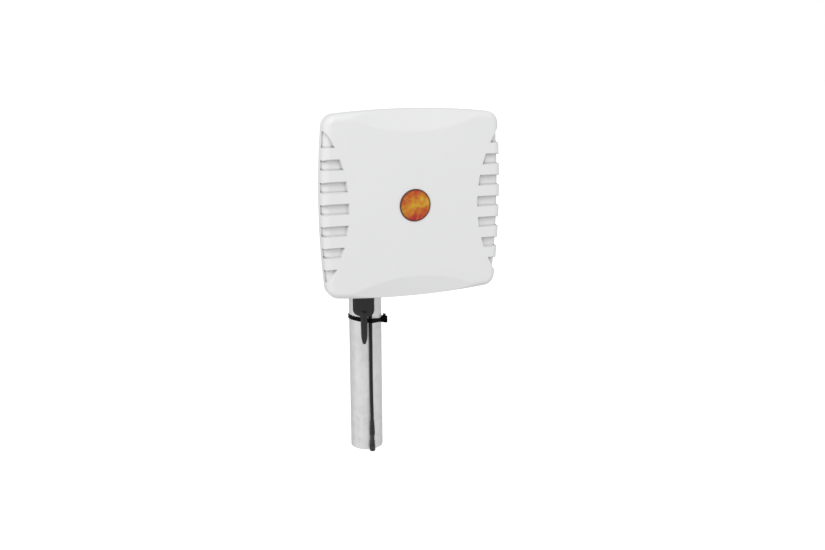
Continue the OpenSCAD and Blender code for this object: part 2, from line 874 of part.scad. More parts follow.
// Tapered boot over the end of the cable
module plug_boot() {
    color("black") in_plug() translate([0, 0, 26])
        rotate_extrude($fn = 48)
            polygon([[2.6, 0], [3.9, 0], [3.9, 6], [3, 22], [2.6, 24]]);
}

module plug_body() {
    color("silver") in_plug() {
        difference() {
            union() {
                translate([0, 0, 6.3]) cylinder(h = 5, r = 2.9, $fn = 48);
                translate([0, 0, 10.2]) cylinder(h = 6, r = 3.9, $fn = 48);
                translate([0, 0, 16]) cylinder(h = 10, r = 3.2, $fn = 48);
            }
            translate([0, 0, 5]) cylinder(h = 5, r = 2, $fn = 32);
            translate([0, 0, 8]) cylinder(h = 19, r = 0.5, $fn = 24);
        }
    }
}

module plug_pin() {
    color("gold") in_plug() translate([0, 0, 6.4]) cylinder(h = 14, r = 0.45, $fn = 24);
}

// The coupling nut turns on the plug's neck
module plug_nut() {
    color("silver") in_plug() {
        difference() {
            translate([0, 0, 0.5]) cylinder(h = 9.4, r = 4.6, $fn = 6);
            translate([0, 0, -1]) cylinder(h = 7, r = 3.2, $fn = 48);
            translate([0, 0, 4]) cylinder(h = 8, r = 2.95, $fn = 48);
        }
    }
}

front_cover();
badge();
cover_gasket();
rear_cover();
cover_screws();
reflector_plate();
board_spacers();
feed_board();
patch_spacers();
radiating_patches();
reflector_screws();
inner_lead();
gland_body();
gland_seal();
gland_nut();
vent_plug();
tilt_bracket();
bracket_screws();
tilt_bolt();
tilt_nut();
tilt_washers();
tilt_discs();
swivel();
mast_tube();
mast_cap();
clamp_arm();
clamp_jaw();
clamp_bolts();
clamp_nuts();
clamp_washers();
pan_bolt();
pan_nut();
pan_washers();
pan_discs();
cable_guide();
cable_ties();
coil_ties();
cable_loop_tilt();
cable_loop_pan();
cable_coil();
feeder_cable();
plug_boot();
plug_body();
plug_pin();
plug_nut();
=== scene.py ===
import json
import math

import bpy
import numpy as np
from mathutils import Matrix, Vector


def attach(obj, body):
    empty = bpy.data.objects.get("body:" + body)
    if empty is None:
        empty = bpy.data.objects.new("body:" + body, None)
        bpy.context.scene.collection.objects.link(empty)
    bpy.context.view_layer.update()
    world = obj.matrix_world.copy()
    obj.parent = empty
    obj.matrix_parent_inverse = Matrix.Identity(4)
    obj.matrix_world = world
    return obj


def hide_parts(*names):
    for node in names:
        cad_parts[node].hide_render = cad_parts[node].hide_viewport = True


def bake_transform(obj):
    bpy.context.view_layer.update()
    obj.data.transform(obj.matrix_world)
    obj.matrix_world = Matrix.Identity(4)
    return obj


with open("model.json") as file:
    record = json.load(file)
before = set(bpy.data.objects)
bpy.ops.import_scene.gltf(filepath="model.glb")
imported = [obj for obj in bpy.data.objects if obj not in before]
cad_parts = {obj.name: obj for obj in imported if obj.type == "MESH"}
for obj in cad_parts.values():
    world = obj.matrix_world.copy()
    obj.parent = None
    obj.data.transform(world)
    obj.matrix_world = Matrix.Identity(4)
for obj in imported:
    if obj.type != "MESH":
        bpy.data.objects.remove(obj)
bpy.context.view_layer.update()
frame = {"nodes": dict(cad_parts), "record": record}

MM = 0.001

# ---------- camera ----------
camera_data = bpy.data.cameras.new("camera")
camera_data.sensor_width = 36.0
camera_data.lens = 38.1
camera_data.clip_end = 50.0
camera = bpy.data.objects.new("camera", camera_data)
camera.location = (-0.3614, -1.2001, 0.5807)
camera.rotation_euler = (math.radians(90 - 14.031), 0.0, math.radians(-19.992))
bpy.context.scene.collection.objects.link(camera)
bpy.context.scene.camera = camera

# ---------- dimensions in millimetres, as in the CAD ----------
PANEL = (31.0, -132.0, 391.0)           # the middle of the panel's face
HALF, SIDE_R, CORNER_R, EDGE_R = 125.0, 1100.0, 13.0, 10.0
FRONT_DEPTH, PANEL_DEPTH, WALL = 25.0, 42.0, 2.5
REAR_SLOPE = 28.8                       # the depth at which the rear cover's sides turn in
SCREW_FAR, SCREW_NEAR = 112.0, 42.0     # each of the eight cover screws, from the panel's middle
BEVEL_A, BEVEL_R, BEVEL_Z = 14.0, 215.0, 96.0   # the bevels above and below: tilt, bow and start
GILL_PITCH, GILL_HALF, GILL_DEPTH = 28.5, 7.1, 5.5
GILL_LAST, GILL_END = 3 * GILL_PITCH, 101.0     # the outermost gills: their middle and their far edge
GILL_ARC_X, GILL_ARC_R = 275.3, 185.7   # the circle that the gills' inner ends lie on
TILT_Y, PAN_Y = -72.0, -46.0
MAST_R, BORE_R, MAST_LEN = 24.15, 21.25, 480.0
AROUND_R = 24.25                        # what lies round the mast
ARM_A = math.degrees(math.atan2(PANEL[0], -PAN_Y))      # the arm's turn round the mast, and its length
ARM_REACH = math.hypot(PANEL[0], PAN_Y)
CHEEK_MID, CHEEK_HALF, CHEEK_OUT = 17.3, 4.0, 21.3      # the forks' cheeks, from the middle of a pivot
CLAMP_R, CLAMP_X, CLAMP_Z = 24.2, 35.0, 14.0    # the clamp's bore, and its bolts from the middle
CLAMP_FRONT, CLAMP_BACK = 30.0, 15.5    # the clamp bolts' seats, on the arm and on the jaw
CABLE_R = 2.5
LAYER_1, LAYER_2 = 26.8, 31.9           # the wound lead's two layers; it runs down at the first's
COIL_LOW, COIL_HIGH = 287.5, 351.25
PLUG_Y = -29.2
GUIDE_A = -21.7                         # how far the cable guide is turned round the mast
M8 = {"flats": 13.0, "head": 5.3, "nut": 8.0, "washer_r": 8.0, "washer": 1.6}
M6 = {"flats": 10.0, "head": 4.0, "nut": 6.0, "washer_r": 6.0, "washer": 1.2}


# ---------- mesh helpers ----------
def make(name, verts, faces, body, slot, hides=(), normals=None):
    """A mesh piece from millimetres in the row frame, riding a body, in the finish of a record slot."""
    verts = np.asarray(verts, float) * MM
    mesh = bpy.data.meshes.new(name)
    mesh.from_pydata(verts.tolist(), [], [list(map(int, f)) for f in faces])
    mesh.validate()
    mesh.update()
    if normals is None:
        normals = area_normals(verts, faces)
    mesh.polygons.foreach_set("use_smooth", np.ones(len(mesh.polygons), bool))
    mesh.normals_split_custom_set_from_vertices(np.asarray(normals, float).tolist())
    mesh.materials.append(MAT[slot])
    obj = bpy.data.objects.new(name, mesh)
    bpy.context.scene.collection.objects.link(obj)
    if body:
        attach(obj, body)
    if hides:
        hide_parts(*hides)
    return obj


def area_normals(verts, faces):
    """Vertex normals in which large faces count for more, so flats between fillets stay flat."""
    out = np.zeros_like(verts)
    by_size = {}
    for f in faces:
        by_size.setdefault(len(f), []).append(f)
    for size, group in by_size.items():
        g = np.array(group, int)
        n = np.zeros((len(g), 3))
        for k in range(1, size - 1):
            n += np.cross(verts[g[:, k]] - verts[g[:, 0]], verts[g[:, k + 1]] - verts[g[:, 0]])
        for k in range(size):
            np.add.at(out, g[:, k], n)
    return out / np.maximum(np.linalg.norm(out, axis=1, keepdims=True), 1e-20)


def placed(points, matrix):
    points = np.asarray(points, float)
    m = np.array(matrix, float)
    return points @ m[:3, :3].T + m[:3, 3]


def at(x, y, z):
    return Matrix.Translation((x, y, z))


def turn(angle, axis):
    return Matrix.Rotation(math.radians(angle), 4, axis)


def join(parts):
    """Several sets of vertices and faces as one."""
    verts, faces, base = [], [], 0
    for v, f in parts:
        verts.append(np.asarray(v, float))
        faces += [[i + base for i in face] for face in f]
        base += len(v)
    return np.concatenate(verts), faces


def circle(count):
    """Angles round a full turn."""
    return np.arange(count) * 2 * math.pi / count


def ring(angles, r, z):
    """Points round Z at radius r and height z; the angles run from -Y towards +X."""
    return np.stack(np.broadcast_arrays(r * np.sin(angles), -r * np.cos(angles), z), 1)


def skin(rings, sides, closed=False):
    """Faces between rings of vertices. The last ring joins the first, or else both ends are capped."""
    faces = []
    for i in range(rings if closed else rings - 1):
        a, b = i * sides, (i + 1) % rings * sides
        faces += [[a + k, a + (k + 1) % sides, b + (k + 1) % sides, b + k] for k in range(sides)]
    if not closed:
        faces += [list(range(sides))[::-1], [(rings - 1) * sides + k for k in range(sides)]]
    return faces


def outwards(verts, faces):
    """The same faces, turned so that they look outwards."""
    volume = 0.0
    for f in faces:
        a = verts[f[0]]
        for k in range(1, len(f) - 1):
            volume += np.dot(a, np.cross(verts[f[k]], verts[f[k + 1]]))
    return faces if volume > 0 else [f[::-1] for f in faces]


def fitted(name, form, places, body, slot, node):
    """One form at one or more places, as one piece that stands for a CAD node."""
    verts, faces = form
    faces = outwards(verts, faces)
    v, f = join([(placed(verts, m), faces) for m in places])
    return make(name, v, f, body, slot, [node])


# ---------- rounded solids, as distance functions in millimetres ----------
def rmax(a, b, r):
    """Both a and b, with the edge between them rounded to r."""
    return np.minimum(-r, np.maximum(a, b)) + np.hypot(np.maximum(a + r, 0), np.maximum(b + r, 0))


def rmin(a, b, r):
    """a or b, with a fillet r between them."""
    return -rmax(-a, -b, r)


def box(x, y, z, lo, hi, r):
    """Distance from a box from lo to hi, its edges rounded to r."""
    c = [(a + b) / 2 for a, b in zip(lo, hi)]
    h = [(b - a) / 2 - r for a, b in zip(lo, hi)]
    q = [np.abs(v - m) - s for v, m, s in zip((x, y, z), c, h)]
    inner = np.minimum(np.maximum(np.maximum(q[0], q[1]), q[2]), 0)
    outer = np.sqrt(sum(np.maximum(v, 0) ** 2 for v in q))
    return inner + outer - r


def solid(f, lo, hi, step):
    """The surface where f is zero: a net of quads on a grid, moved onto it, and its normals."""
    lo = np.array(lo, float) - 1.5 * step
    axes = [np.arange(a, b + 2.5 * step, step) for a, b in zip(lo, hi)]
    v = f(*np.meshgrid(*axes, indexing="ij"))
    shape = np.array(v.shape)
    cells = shape - 1
    count = np.zeros(cells.prod())
    total = np.zeros((cells.prod(), 3))
    quads = []
    for a in range(3):
        b, c = (a + 1) % 3, (a + 2) % 3
        s0, s1 = [slice(None)] * 3, [slice(None)] * 3
        s0[a], s1[a] = slice(0, -1), slice(1, None)
        v0, v1 = v[tuple(s0)], v[tuple(s1)]
        idx = np.stack(np.nonzero((v0 < 0) != (v1 < 0)), 1)
        keep = (idx[:, b] > 0) & (idx[:, b] < shape[b] - 1) & (idx[:, c] > 0) & (idx[:, c] < shape[c] - 1)
        idx = idx[keep]
        d0, d1 = v0[tuple(idx.T)], v1[tuple(idx.T)]
        p = idx.astype(float)
        p[:, a] += d0 / (d0 - d1)
        corner = []
        for ob, oc in ((0, 0), (-1, 0), (-1, -1), (0, -1)):
            q = idx.copy()
            q[:, b] += ob
            q[:, c] += oc
            flat = np.ravel_multi_index(q.T, cells)
            count += np.bincount(flat, minlength=len(count))
            for k in range(3):
                total[:, k] += np.bincount(flat, weights=p[:, k], minlength=len(count))
            corner.append(flat)
        quad = np.stack(corner, 1)
        quad[d0 >= 0] = quad[d0 >= 0][:, ::-1]
        quads.append(quad)
    used = np.nonzero(count)[0]
    number = np.full(len(count), -1)
    number[used] = np.arange(len(used))
    points = total[used] / count[used, None] * step + lo
    faces = number[np.concatenate(quads)]
    for _ in range(4):
        value, slope = gradient(f, points)
        move = -value[:, None] * slope / np.maximum((slope ** 2).sum(1), 0.2)[:, None]
        size = np.linalg.norm(move, axis=1, keepdims=True)
        points = points + move * np.minimum(1, 0.4 * step / np.maximum(size, 1e-9))
    _, slope = gradient(f, points, 0.12 * step)
    normals = slope / np.maximum(np.linalg.norm(slope, axis=1, keepdims=True), 1e-9)
    return points, faces, normals


def gradient(f, p, h=0.02):
    """The value of f at points, and its slope."""
    x, y, z = p.T
    value = f(x, y, z)
    slope = np.stack([
        f(x + h, y, z) - f(x - h, y, z), f(x, y + h, z) - f(x, y - h, z), f(x, y, z + h) - f(x, y, z - h),
    ], 1) / (2 * h)
    return value, slope


def moulded(name, f, lo, hi, step, place, body, slot, node):
    """A rounded solid that stands for a CAD node."""
    points, faces, normals = solid(f, lo, hi, step)
    m = np.array(place, float)
    return make(name, placed(points, place), faces, body, slot, [node], normals @ m[:3, :3].T)


# ---------- turned and swept forms ----------
def rounded(points, r, steps=3):
    """A profile with each inner corner replaced by a small arc."""
    out = [points[0]]
    for a, b, c in zip(points, points[1:], points[2:]):
        a, b, c = (np.array(p, float) for p in (a, b, c))
        u, w = a - b, c - b
        lu, lw = np.linalg.norm(u), np.linalg.norm(w)
        k = min(r, 0.45 * lu, 0.45 * lw)
        p, q = b + u / lu * k, b + w / lw * k
        for i in range(steps + 1):
            t = i / steps
            out.append(tuple((1 - t) ** 2 * p + 2 * t * (1 - t) * b + t * t * q))
    out.append(points[-1])
    return out


def turned(profile, segments=64, around=None):
    """A closed profile of (radius, height), turned round Z.
    around gives the radius at each angle, as on a hexagon."""
    angles = circle(segments)
    verts = [ring(angles, around(angles, r, z) if around else r, z) for r, z in profile]
    return np.concatenate(verts), skin(len(profile), segments, closed=True)


def hexagon(flats, round_over=0.04):
    """The radius at each angle of a hexagon with softened corners, but never more than the profile's own."""
    def at_angle(angles, r, z):
        a = (angles + math.pi / 6) % (math.pi / 3) - math.pi / 6
        side = flats / 2 / np.cos(a)
        side = np.minimum(side, flats / 2 / math.cos(math.pi / 6) * (1 - round_over))
        return np.minimum(side, r)
    return at_angle


def ribs(count, radius, taper, height, pitch, steps):
    """The stretch of a profile that repeats: steps of (radius, height) from where each rib begins."""
    return [(radius - taper * k + dr, height + pitch * k + dz) for k in range(count) for dr, dz in steps]


def thread(radius, z0, z1, pitch, depth, segments=48):
    """A screw thread from z0 up to z1."""
    steps = max(4, int((z1 - z0) / pitch * 8))
    angles = circle(segments)
    verts = []
    for i in range(steps + 1):
        z = z0 + (z1 - z0) * i / steps
        phase = (z / pitch - angles / (2 * math.pi)) % 1.0
        fade = min(1.0, (z - z0) / pitch, (z1 - z) / pitch)
        r = radius - depth * np.abs(2 * phase - 1) * (0.4 + 0.6 * fade) - depth * 0.5 * (1 - fade)
        verts.append(ring(angles, r, z))
    return np.concatenate(verts), skin(steps + 1, segments)


def chamfer(flats):
    """A hexagon's chamfer: the radius at its top, the radius of its corners, and the drop between them."""
    top, corner = flats / 2 * 0.95, flats / 2 / math.cos(math.pi / 6)
    return top, corner, (corner - top) * math.tan(math.radians(28))


def hex_bolt(size, dia, length):
    """A hexagon bolt whose head stands on z = 0 and whose shank goes down."""
    h, end = size["head"], -length + size["nut"]
    top, corner, drop = chamfer(size["flats"])
    profile = [(0.001, h - 0.25), (top * 0.55, h - 0.25), (top * 0.62, h), (top, h), (corner, h - drop),
               (corner, 0.35), (top, 0.35), (top * 0.98, 0), (0.001, 0)]
    head = turned(rounded(profile, 0.25), 96, hexagon(size["flats"]))
    plain = turned(rounded([(0.001, 0.1), (dia / 2, 0.1), (dia / 2, end + 5.5), (0.001, end + 5.5)], 0.1), 48)
    shank = thread(dia / 2, -length, end + 6, 0.156 * dia, 0.08 * dia)
    return join([head, (plain[0], [f[::-1] for f in plain[1]]), shank])


def hex_nut(size, dia):
    """A hexagon nut that stands on z = 0."""
    h, bore = size["nut"], dia / 2 + 0.05
    top, corner, drop = chamfer(size["flats"])
    return turned([(bore, 0.6), (bore + 0.5, 0), (top, 0), (corner, drop), (corner, h - drop), (top, h),
                   (bore + 0.5, h), (bore, h - 0.6)], 96, hexagon(size["flats"]))


def washer(size, hole):
    r, t, edge = size["washer_r"], size["washer"], 0.18
    return turned([(hole, edge), (hole + edge, 0), (r - edge, 0), (r, edge), (r, t - edge), (r - edge, t),
                   (hole + edge, t), (hole, t - edge)], 64)


def tube(points, radius, sides=16):
    """A round tube along points, with domed ends."""
    p = np.asarray(points, float)
    n = len(p)
    t = np.gradient(p, axis=0)
    t /= np.linalg.norm(t, axis=1, keepdims=True)
    u = np.cross(t[0], [0.3, 0.2, 1.0])
    u /= np.linalg.norm(u)
    frames = []
    for i in range(n):
        u = u - t[i] * np.dot(u, t[i])
        u /= np.linalg.norm(u)
        frames.append((u.copy(), np.cross(t[i], u)))
    rings = [(p[0] - t[0] * radius * 0.3, 0.55, 0)]
    rings += [(p[i], 1.0, i) for i in range(n)]
    rings.append((p[-1] + t[-1] * radius * 0.3, 0.55, n - 1))
    angles = circle(sides)
    verts = np.concatenate([
        c + radius * k * (np.outer(np.cos(angles), frames[i][0]) + np.outer(np.sin(angles), frames[i][1]))
        for c, k, i in rings])
    return verts, skin(len(rings), sides)


def smooth_route(points, step):
    """Catmull-Rom through the points, a point every step or so."""
    p = np.asarray(points, float)
    out = []
    for i in range(len(p) - 1):
        a, b, c, d = p[max(i - 1, 0)], p[i], p[i + 1], p[min(i + 2, len(p) - 1)]
        n = max(1, int(round(np.linalg.norm(c - b) / step)))
        for k in range(n):
            t = k / n
            out.append(0.5 * (2 * b + (c - a) * t + (2 * a - 5 * b + 4 * c - d) * t * t
                              + (3 * b - a - 3 * c + d) * t ** 3))
    out.append(p[-1])
    return np.array(out)


# ---------- node materials ----------
def nodes_of(name):
    material = bpy.data.materials.new(name)
    material.use_nodes = True
    tree = material.node_tree
    shader = tree.nodes["Principled BSDF"]
    return material, tree, shader


def put(tree, value, socket):
    """Links a socket to the one that its value comes from, or sets it to a number."""
    if isinstance(value, bpy.types.NodeSocket):
        tree.links.new(value, socket)
    else:
        socket.default_value = value


def add(tree, kind, *values, **settings):
    """A node with values for its first inputs, and settings for its other inputs or its properties."""
    node = tree.nodes.new(kind)
    for key, value in settings.items():
        if key in node.inputs:
            node.inputs[key].default_value = value
        else:
            setattr(node, key, value)
    for value, socket in zip(values, node.inputs):
        put(tree, value, socket)
    return node


def calc(tree, operation, *values):
    return add(tree, "ShaderNodeMath", *values, operation=operation).outputs[0]


def split(tree, vector):
    return tuple(add(tree, "ShaderNodeSeparateXYZ", vector).outputs)


def mixed(tree, factor, a, b, kind="RGBA"):
    """a where the factor is 0, b where it is 1."""
    node = add(tree, "ShaderNodeMix", data_type=kind)
    for key, value in (("Factor", factor), ("A", a), ("B", b)):
        put(tree, value, node.inputs[key])
    return node.outputs["Result"]


def ramp(tree, source, stops):
    node = add(tree, "ShaderNodeValToRGB", source)
    elements = node.color_ramp.elements
    while len(elements) < len(stops):
        elements.new(0.5)
    for element, (pos, colour) in zip(elements, stops):
        element.position = pos
        element.color = (*colour, 1.0)
    return node.outputs["Color"]


def coordinates(tree, scale=(1, 1, 1), offset=(0, 0, 0)):
    """Points in the row frame, in metres, scaled and then moved."""
    place = tree.nodes.new("ShaderNodeTexCoord")
    return add(tree, "ShaderNodeMapping", place.outputs["Object"], Scale=scale, Location=offset).outputs[0]


def noise(tree, vector, scale, detail=4.0, roughness=0.5, distortion=0.0):
    node = add(tree, "ShaderNodeTexNoise", vector, Scale=scale, Detail=detail, Roughness=roughness,
               Distortion=distortion)
    return node.outputs["Fac"]


def spread(tree, source, low, high, start=0.3, end=0.7):
    """The source from start to end, mapped to low to high and held there beyond."""
    return add(tree, "ShaderNodeMapRange", source, start, end, low, high).outputs["Result"]


def bump(tree, shader, height, strength, distance, after=None):
    node = add(tree, "ShaderNodeBump", Strength=strength, Distance=distance)
    tree.links.new(height, node.inputs["Height"])
    if after is not None:
        tree.links.new(after, node.inputs["Normal"])
    tree.links.new(node.outputs["Normal"], shader.inputs["Normal"])
    return node.outputs["Normal"]


def feed(tree, shader, colour, roughness):
    tree.links.new(colour, shader.inputs["Base Color"])
    tree.links.new(roughness, shader.inputs["Roughness"])


def shade(base, amount):
    return tuple(max(0.0, min(1.0, c * amount)) for c in base)


def painted_crease_shade(tree, colour, amount):
    """Painted shade: the colour darkened towards dark grey by ambient occlusion in sharp inner corners, most
    of all under an overhang and at the panel's sides, where shadow falls.
    """
    near = add(tree, "ShaderNodeAmbientOcclusion", Distance=0.0032, samples=12)
    facing = split(tree, tree.nodes.new("ShaderNodeTexCoord").outputs["Normal"])
    x, _, z = split(tree, coordinates(tree, (1, 1, 1), (-PANEL[0] * MM, 0, -PANEL[2] * MM)))
    side = calc(tree, "MULTIPLY_ADD", calc(tree, "MULTIPLY", z, z), 0.5 / (SIDE_R * MM),
                calc(tree, "ABSOLUTE", x))
    where = calc(tree, "MAXIMUM", spread(tree, facing[2], 1.0, 0.0, -0.2, 0.5),
                 spread(tree, side, 0.0, 1.4, 0.1205, 0.1225))
    factor = calc(tree, "MULTIPLY", spread(tree, near.outputs["AO"], amount, 0.0, 0.45, 0.95), where)
    return mixed(tree, factor, colour, (0.12, 0.12, 0.12, 1))


def plastic(name, base, rough, grain, depth, vary, specular, blotch=40.0, crease_shade=0.0):
    """Moulded plastic: a fine spark-eroded grain, faint flow marks, a roughness that wanders and, when asked
    for, painted shade in its creases.
    """
    material, tree, shader = nodes_of(name)
    where = coordinates(tree)
    flow = noise(tree, where, blotch, 6.0, 0.6, 0.6)
    colour = ramp(tree, flow, [(0.3, shade(base, 1 - vary)), (0.7, shade(base, 1 + vary))])
    # painted shade: the colour darkened in inner corners and under overhangs, where shadow falls
    if crease_shade:
        colour = painted_crease_shade(tree, colour, crease_shade)
    feed(tree, shader, colour, spread(tree, flow, rough * 0.88, min(1.0, rough * 1.12)))
    shader.inputs["Specular IOR Level"].default_value = specular
    first = bump(tree, shader, noise(tree, where, grain, 3.0, 0.6), 0.35, depth)
    bump(tree, shader, noise(tree, where, 18.0, 2.0), 0.08, 0.0004, first)
    return material


def metal(name, base, rough, grain=(400, 400, 60), vary=0.08):
    """Drawn or turned metal: streaks along one way, a mottled oxide film and fine scratches."""
    material, tree, shader = nodes_of(name)
    streak = noise(tree, coordinates(tree, grain), 1.0, 5.0, 0.65)
    film = noise(tree, coordinates(tree), 55.0, 4.0, 0.6, 0.4)
    colour = ramp(tree, spread(tree, calc(tree, "ADD", streak, film), 0, 1, 0.75, 1.25),
                  [(0.0, shade(base, 1 - vary)), (1.0, shade(base, 1 + vary))])
    feed(tree, shader, colour, spread(tree, streak, rough * 0.8, rough * 1.25))
    shader.inputs["Metallic"].default_value = 1.0
    bump(tree, shader, streak, 0.25, 0.00001)
    return material


def galvanised(name):
    """Hot-dip galvanised pipe: crystal spangle, a dull zinc bloom and long drawing marks."""
    material, tree, shader = nodes_of(name)
    where = coordinates(tree, (1, 1, 0.75))
    wobble = add(tree, "ShaderNodeTexNoise", where, Scale=90.0, Detail=3.0)
    shift = add(tree, "ShaderNodeVectorMath", wobble.outputs["Color"], (0.008, 0.008, 0.008), where,
                operation="MULTIPLY_ADD")
    crystals = add(tree, "ShaderNodeTexVoronoi", shift.outputs[0], Scale=150.0, Randomness=1.0)
    grey = add(tree, "ShaderNodeRGBToBW", crystals.outputs["Color"]).outputs[0]
    bloom = spread(tree, noise(tree, where, 22.0, 7.0, 0.62, 0.8), 0.38, 0.62, 0.2, 0.8)
    streak = noise(tree, coordinates(tree, (260, 260, 7)), 1.0, 4.0, 0.6)
    film = calc(tree, "MULTIPLY_ADD", streak, 0.6, calc(tree, "MULTIPLY_ADD", grey, 0.22, bloom))
    colour = ramp(tree, spread(tree, film, 0, 1, 0.62, 1.22),
                  [(0.0, (0.52, 0.52, 0.522)), (0.5, (0.612, 0.612, 0.614)), (1.0, (0.68, 0.68, 0.682))])
    feed(tree, shader, colour, spread(tree, film, 0.56, 0.44, 0.62, 1.22))
    shader.inputs["Metallic"].default_value = 0.9
    first = bump(tree, shader, grey, 0.10, 0.00005)
    bump(tree, shader, bloom, 0.12, 0.0002, first)
    return material


def badge_finish(name, centre, radius):
    """A printed disc under clear resin: warm clouds of colour inside a dark rim, and no lettering."""
    material, tree, shader = nodes_of(name)
    s = 1.0 / radius
    where = coordinates(tree, (s, s, s), tuple(-c * s for c in centre))
    flat = add(tree, "ShaderNodeVectorMath", where, (1, 0, 1), operation="MULTIPLY").outputs[0]
    length = add(tree, "ShaderNodeVectorMath", flat, operation="LENGTH").outputs["Value"]
    cloud = noise(tree, where, 1.25, 4.0, 0.55, 1.6)
    x, _, z = split(tree, where)
    band = calc(tree, "ABSOLUTE", calc(tree, "MULTIPLY_ADD", x, -0.28, z))
    glow = ramp(tree, spread(tree, calc(tree, "MULTIPLY_ADD", band, 0.40, cloud), 0, 1, 0.44, 0.96), [
        (0.0, (0.47, 0.29, 0.016)), (0.25, (0.45, 0.185, 0.010)), (0.5, (0.41, 0.105, 0.008)),
        (0.75, (0.36, 0.036, 0.010)), (1.0, (0.30, 0.013, 0.022))])
    rim = ramp(tree, length, [(0.86, (0, 0, 0)), (0.985, (1, 1, 1))])
    feed(tree, shader, mixed(tree, rim, glow, (0.055, 0.010, 0.005, 1)), spread(tree, cloud, 0.22, 0.34))
    shader.inputs["Specular IOR Level"].default_value = 0.2
    shader.inputs["Coat Weight"].default_value = 0.15
    shader.inputs["Coat Roughness"].default_value = 0.08
    bump(tree, shader, noise(tree, where, 9.0, 3.0), 0.05, 0.0001)
    return material


def jacket(name):
    """Extruded cable jacket: a soft satin skin with a fine grain and scuffs."""
    material, tree, shader = nodes_of(name)
    where = coordinates(tree)
    scuff = noise(tree, where, 160.0, 6.0, 0.65)
    feed(tree, shader, ramp(tree, scuff, [(0.35, (0.006, 0.006, 0.0063)), (0.75, (0.013, 0.013, 0.0137))]),
         spread(tree, scuff, 0.40, 0.56))
    shader.inputs["Specular IOR Level"].default_value = 0.22
    bump(tree, shader, noise(tree, where, 1100.0, 2.0), 0.3, 0.00003)
    return material


def circuit_board(name, centre):
    """Green solder mask over straight tracks in a staggered grid."""
    material, tree, shader = nodes_of(name)
    where = coordinates(tree, (1, 1, 1), tuple(-c for c in centre))
    x, _, z = split(tree, where)
    flat = add(tree, "ShaderNodeCombineXYZ", x, z).outputs[0]
    tracks = add(tree, "ShaderNodeTexBrick", flat, Scale=11.0)
    tracks.inputs["Mortar Size"].default_value = 0.012
    colour = ramp(tree, tracks.outputs["Fac"], [(0.2, (0.012, 0.10, 0.035)), (0.8, (0.03, 0.17, 0.06))])
    feed(tree, shader, colour, spread(tree, noise(tree, where, 900.0, 2.0), 0.25, 0.4))
    bump(tree, shader, tracks.outputs["Fac"], 0.4, 0.00005)
    return material


# plastic: base colour, roughness, the grain's scale and depth, variation, specular level, the flow marks'
# scale, and how dark the painted shade in its creases is; metal: base colour, roughness, the streaks' scale,
# variation
PANEL_M = tuple(c * MM for c in PANEL)
MAT = {name: kind(name, *details) for name, kind, *details in [
    # the front cover's last value is the strength of the painted shade in its creases
    ("radome_white", plastic, (0.628, 0.629, 0.630), 0.45, 1600.0, 0.000012, 0.008, 0.4, 14.0, 0.9),
    ("badge_orange", badge_finish, PANEL_M, 0.0215),
    ("rear_white", plastic, (0.615, 0.616, 0.618), 0.52, 1300.0, 0.00002, 0.012, 0.4, 14.0),
    ("gasket_rubber", plastic, (0.022, 0.022, 0.023), 0.75, 900.0, 0.00003, 0.15, 0.3),
    ("stainless", metal, (0.56, 0.56, 0.565), 0.28),
    ("aluminium_sheet", metal, (0.78, 0.79, 0.80), 0.35, (40, 40, 900)),
    ("circuit_board", circuit_board, PANEL_M),
    ("copper_plate", metal, (0.82, 0.47, 0.27), 0.30, (900, 40, 40), 0.12),
    ("nylon_natural", plastic, (0.72, 0.69, 0.60), 0.5, 900.0, 0.00002, 0.04, 0.45),
    ("gland_plastic", plastic, (0.018, 0.018, 0.019), 0.48, 1500.0, 0.00003, 0.12, 0.4),
    ("bracket_black", plastic, (0.020, 0.020, 0.022), 0.55, 1100.0, 0.00005, 0.18, 0.4),
    ("mast_galvanised", galvanised),
    ("guide_nylon", plastic, (0.011, 0.011, 0.0115), 0.42, 1300.0, 0.00003, 0.2, 0.28),
    ("tie_black", plastic, (0.0012, 0.0012, 0.0013), 0.6, 900.0, 0.00002, 0.3, 0.05),
    ("cable_jacket", jacket),
    ("plug_black", metal, (0.045, 0.045, 0.048), 0.30, (500, 500, 90), 0.15),
    ("contact_gold", metal, (0.95, 0.68, 0.28), 0.2, (500, 500, 90), 0.06),
]}

# ---------- cords: the lead's two loops, then its windings and its run down the mast ----------
LOOP_TILT = [(31, -66, 333), (31, -61, 333), (31, -52.4, 331.2), (31, -45.4, 326.4), (31, -40.9, 319.2),
             (31, -39.5, 311), (31, -39.5, 302), (31, -39.5, 293), (31, -39.2, 285)]
LOOP_PAN = [(31, -39.2, 285), (31, -37.2, 276.8), (31, -32.2, 270), (31, -25, 266), (30.9, -16.8, 265),
            (30.4, -7.8, 266.5), (28.8, 1.5, 269.3), (25.2, 11.8, 273.2), (18.8, 20.2, 276.9),
            (9.4, 25.9, 280.6), (-2.3, 27.1, 284)]
FEEDER = [(-24.4, -20.5, 290.5), (-18.4, -26, 289.2), (-11.7, -29.4, 285.5), (-5.9, -30.8, 279.6),
          (-1.9, -30.7, 272.2), (-0.3, -29.6, 264), (0, -28.3, 256.8), (0, -27.3, 250), (0, -26.8, 241),
          (0, -26.8, 200), (0, -26.8, 160), (0, -26.8, 115), (0, -27.2, 90), (0, -28.6, 66), (0, -29.2, 50),
          (0, -29.2, 26)]


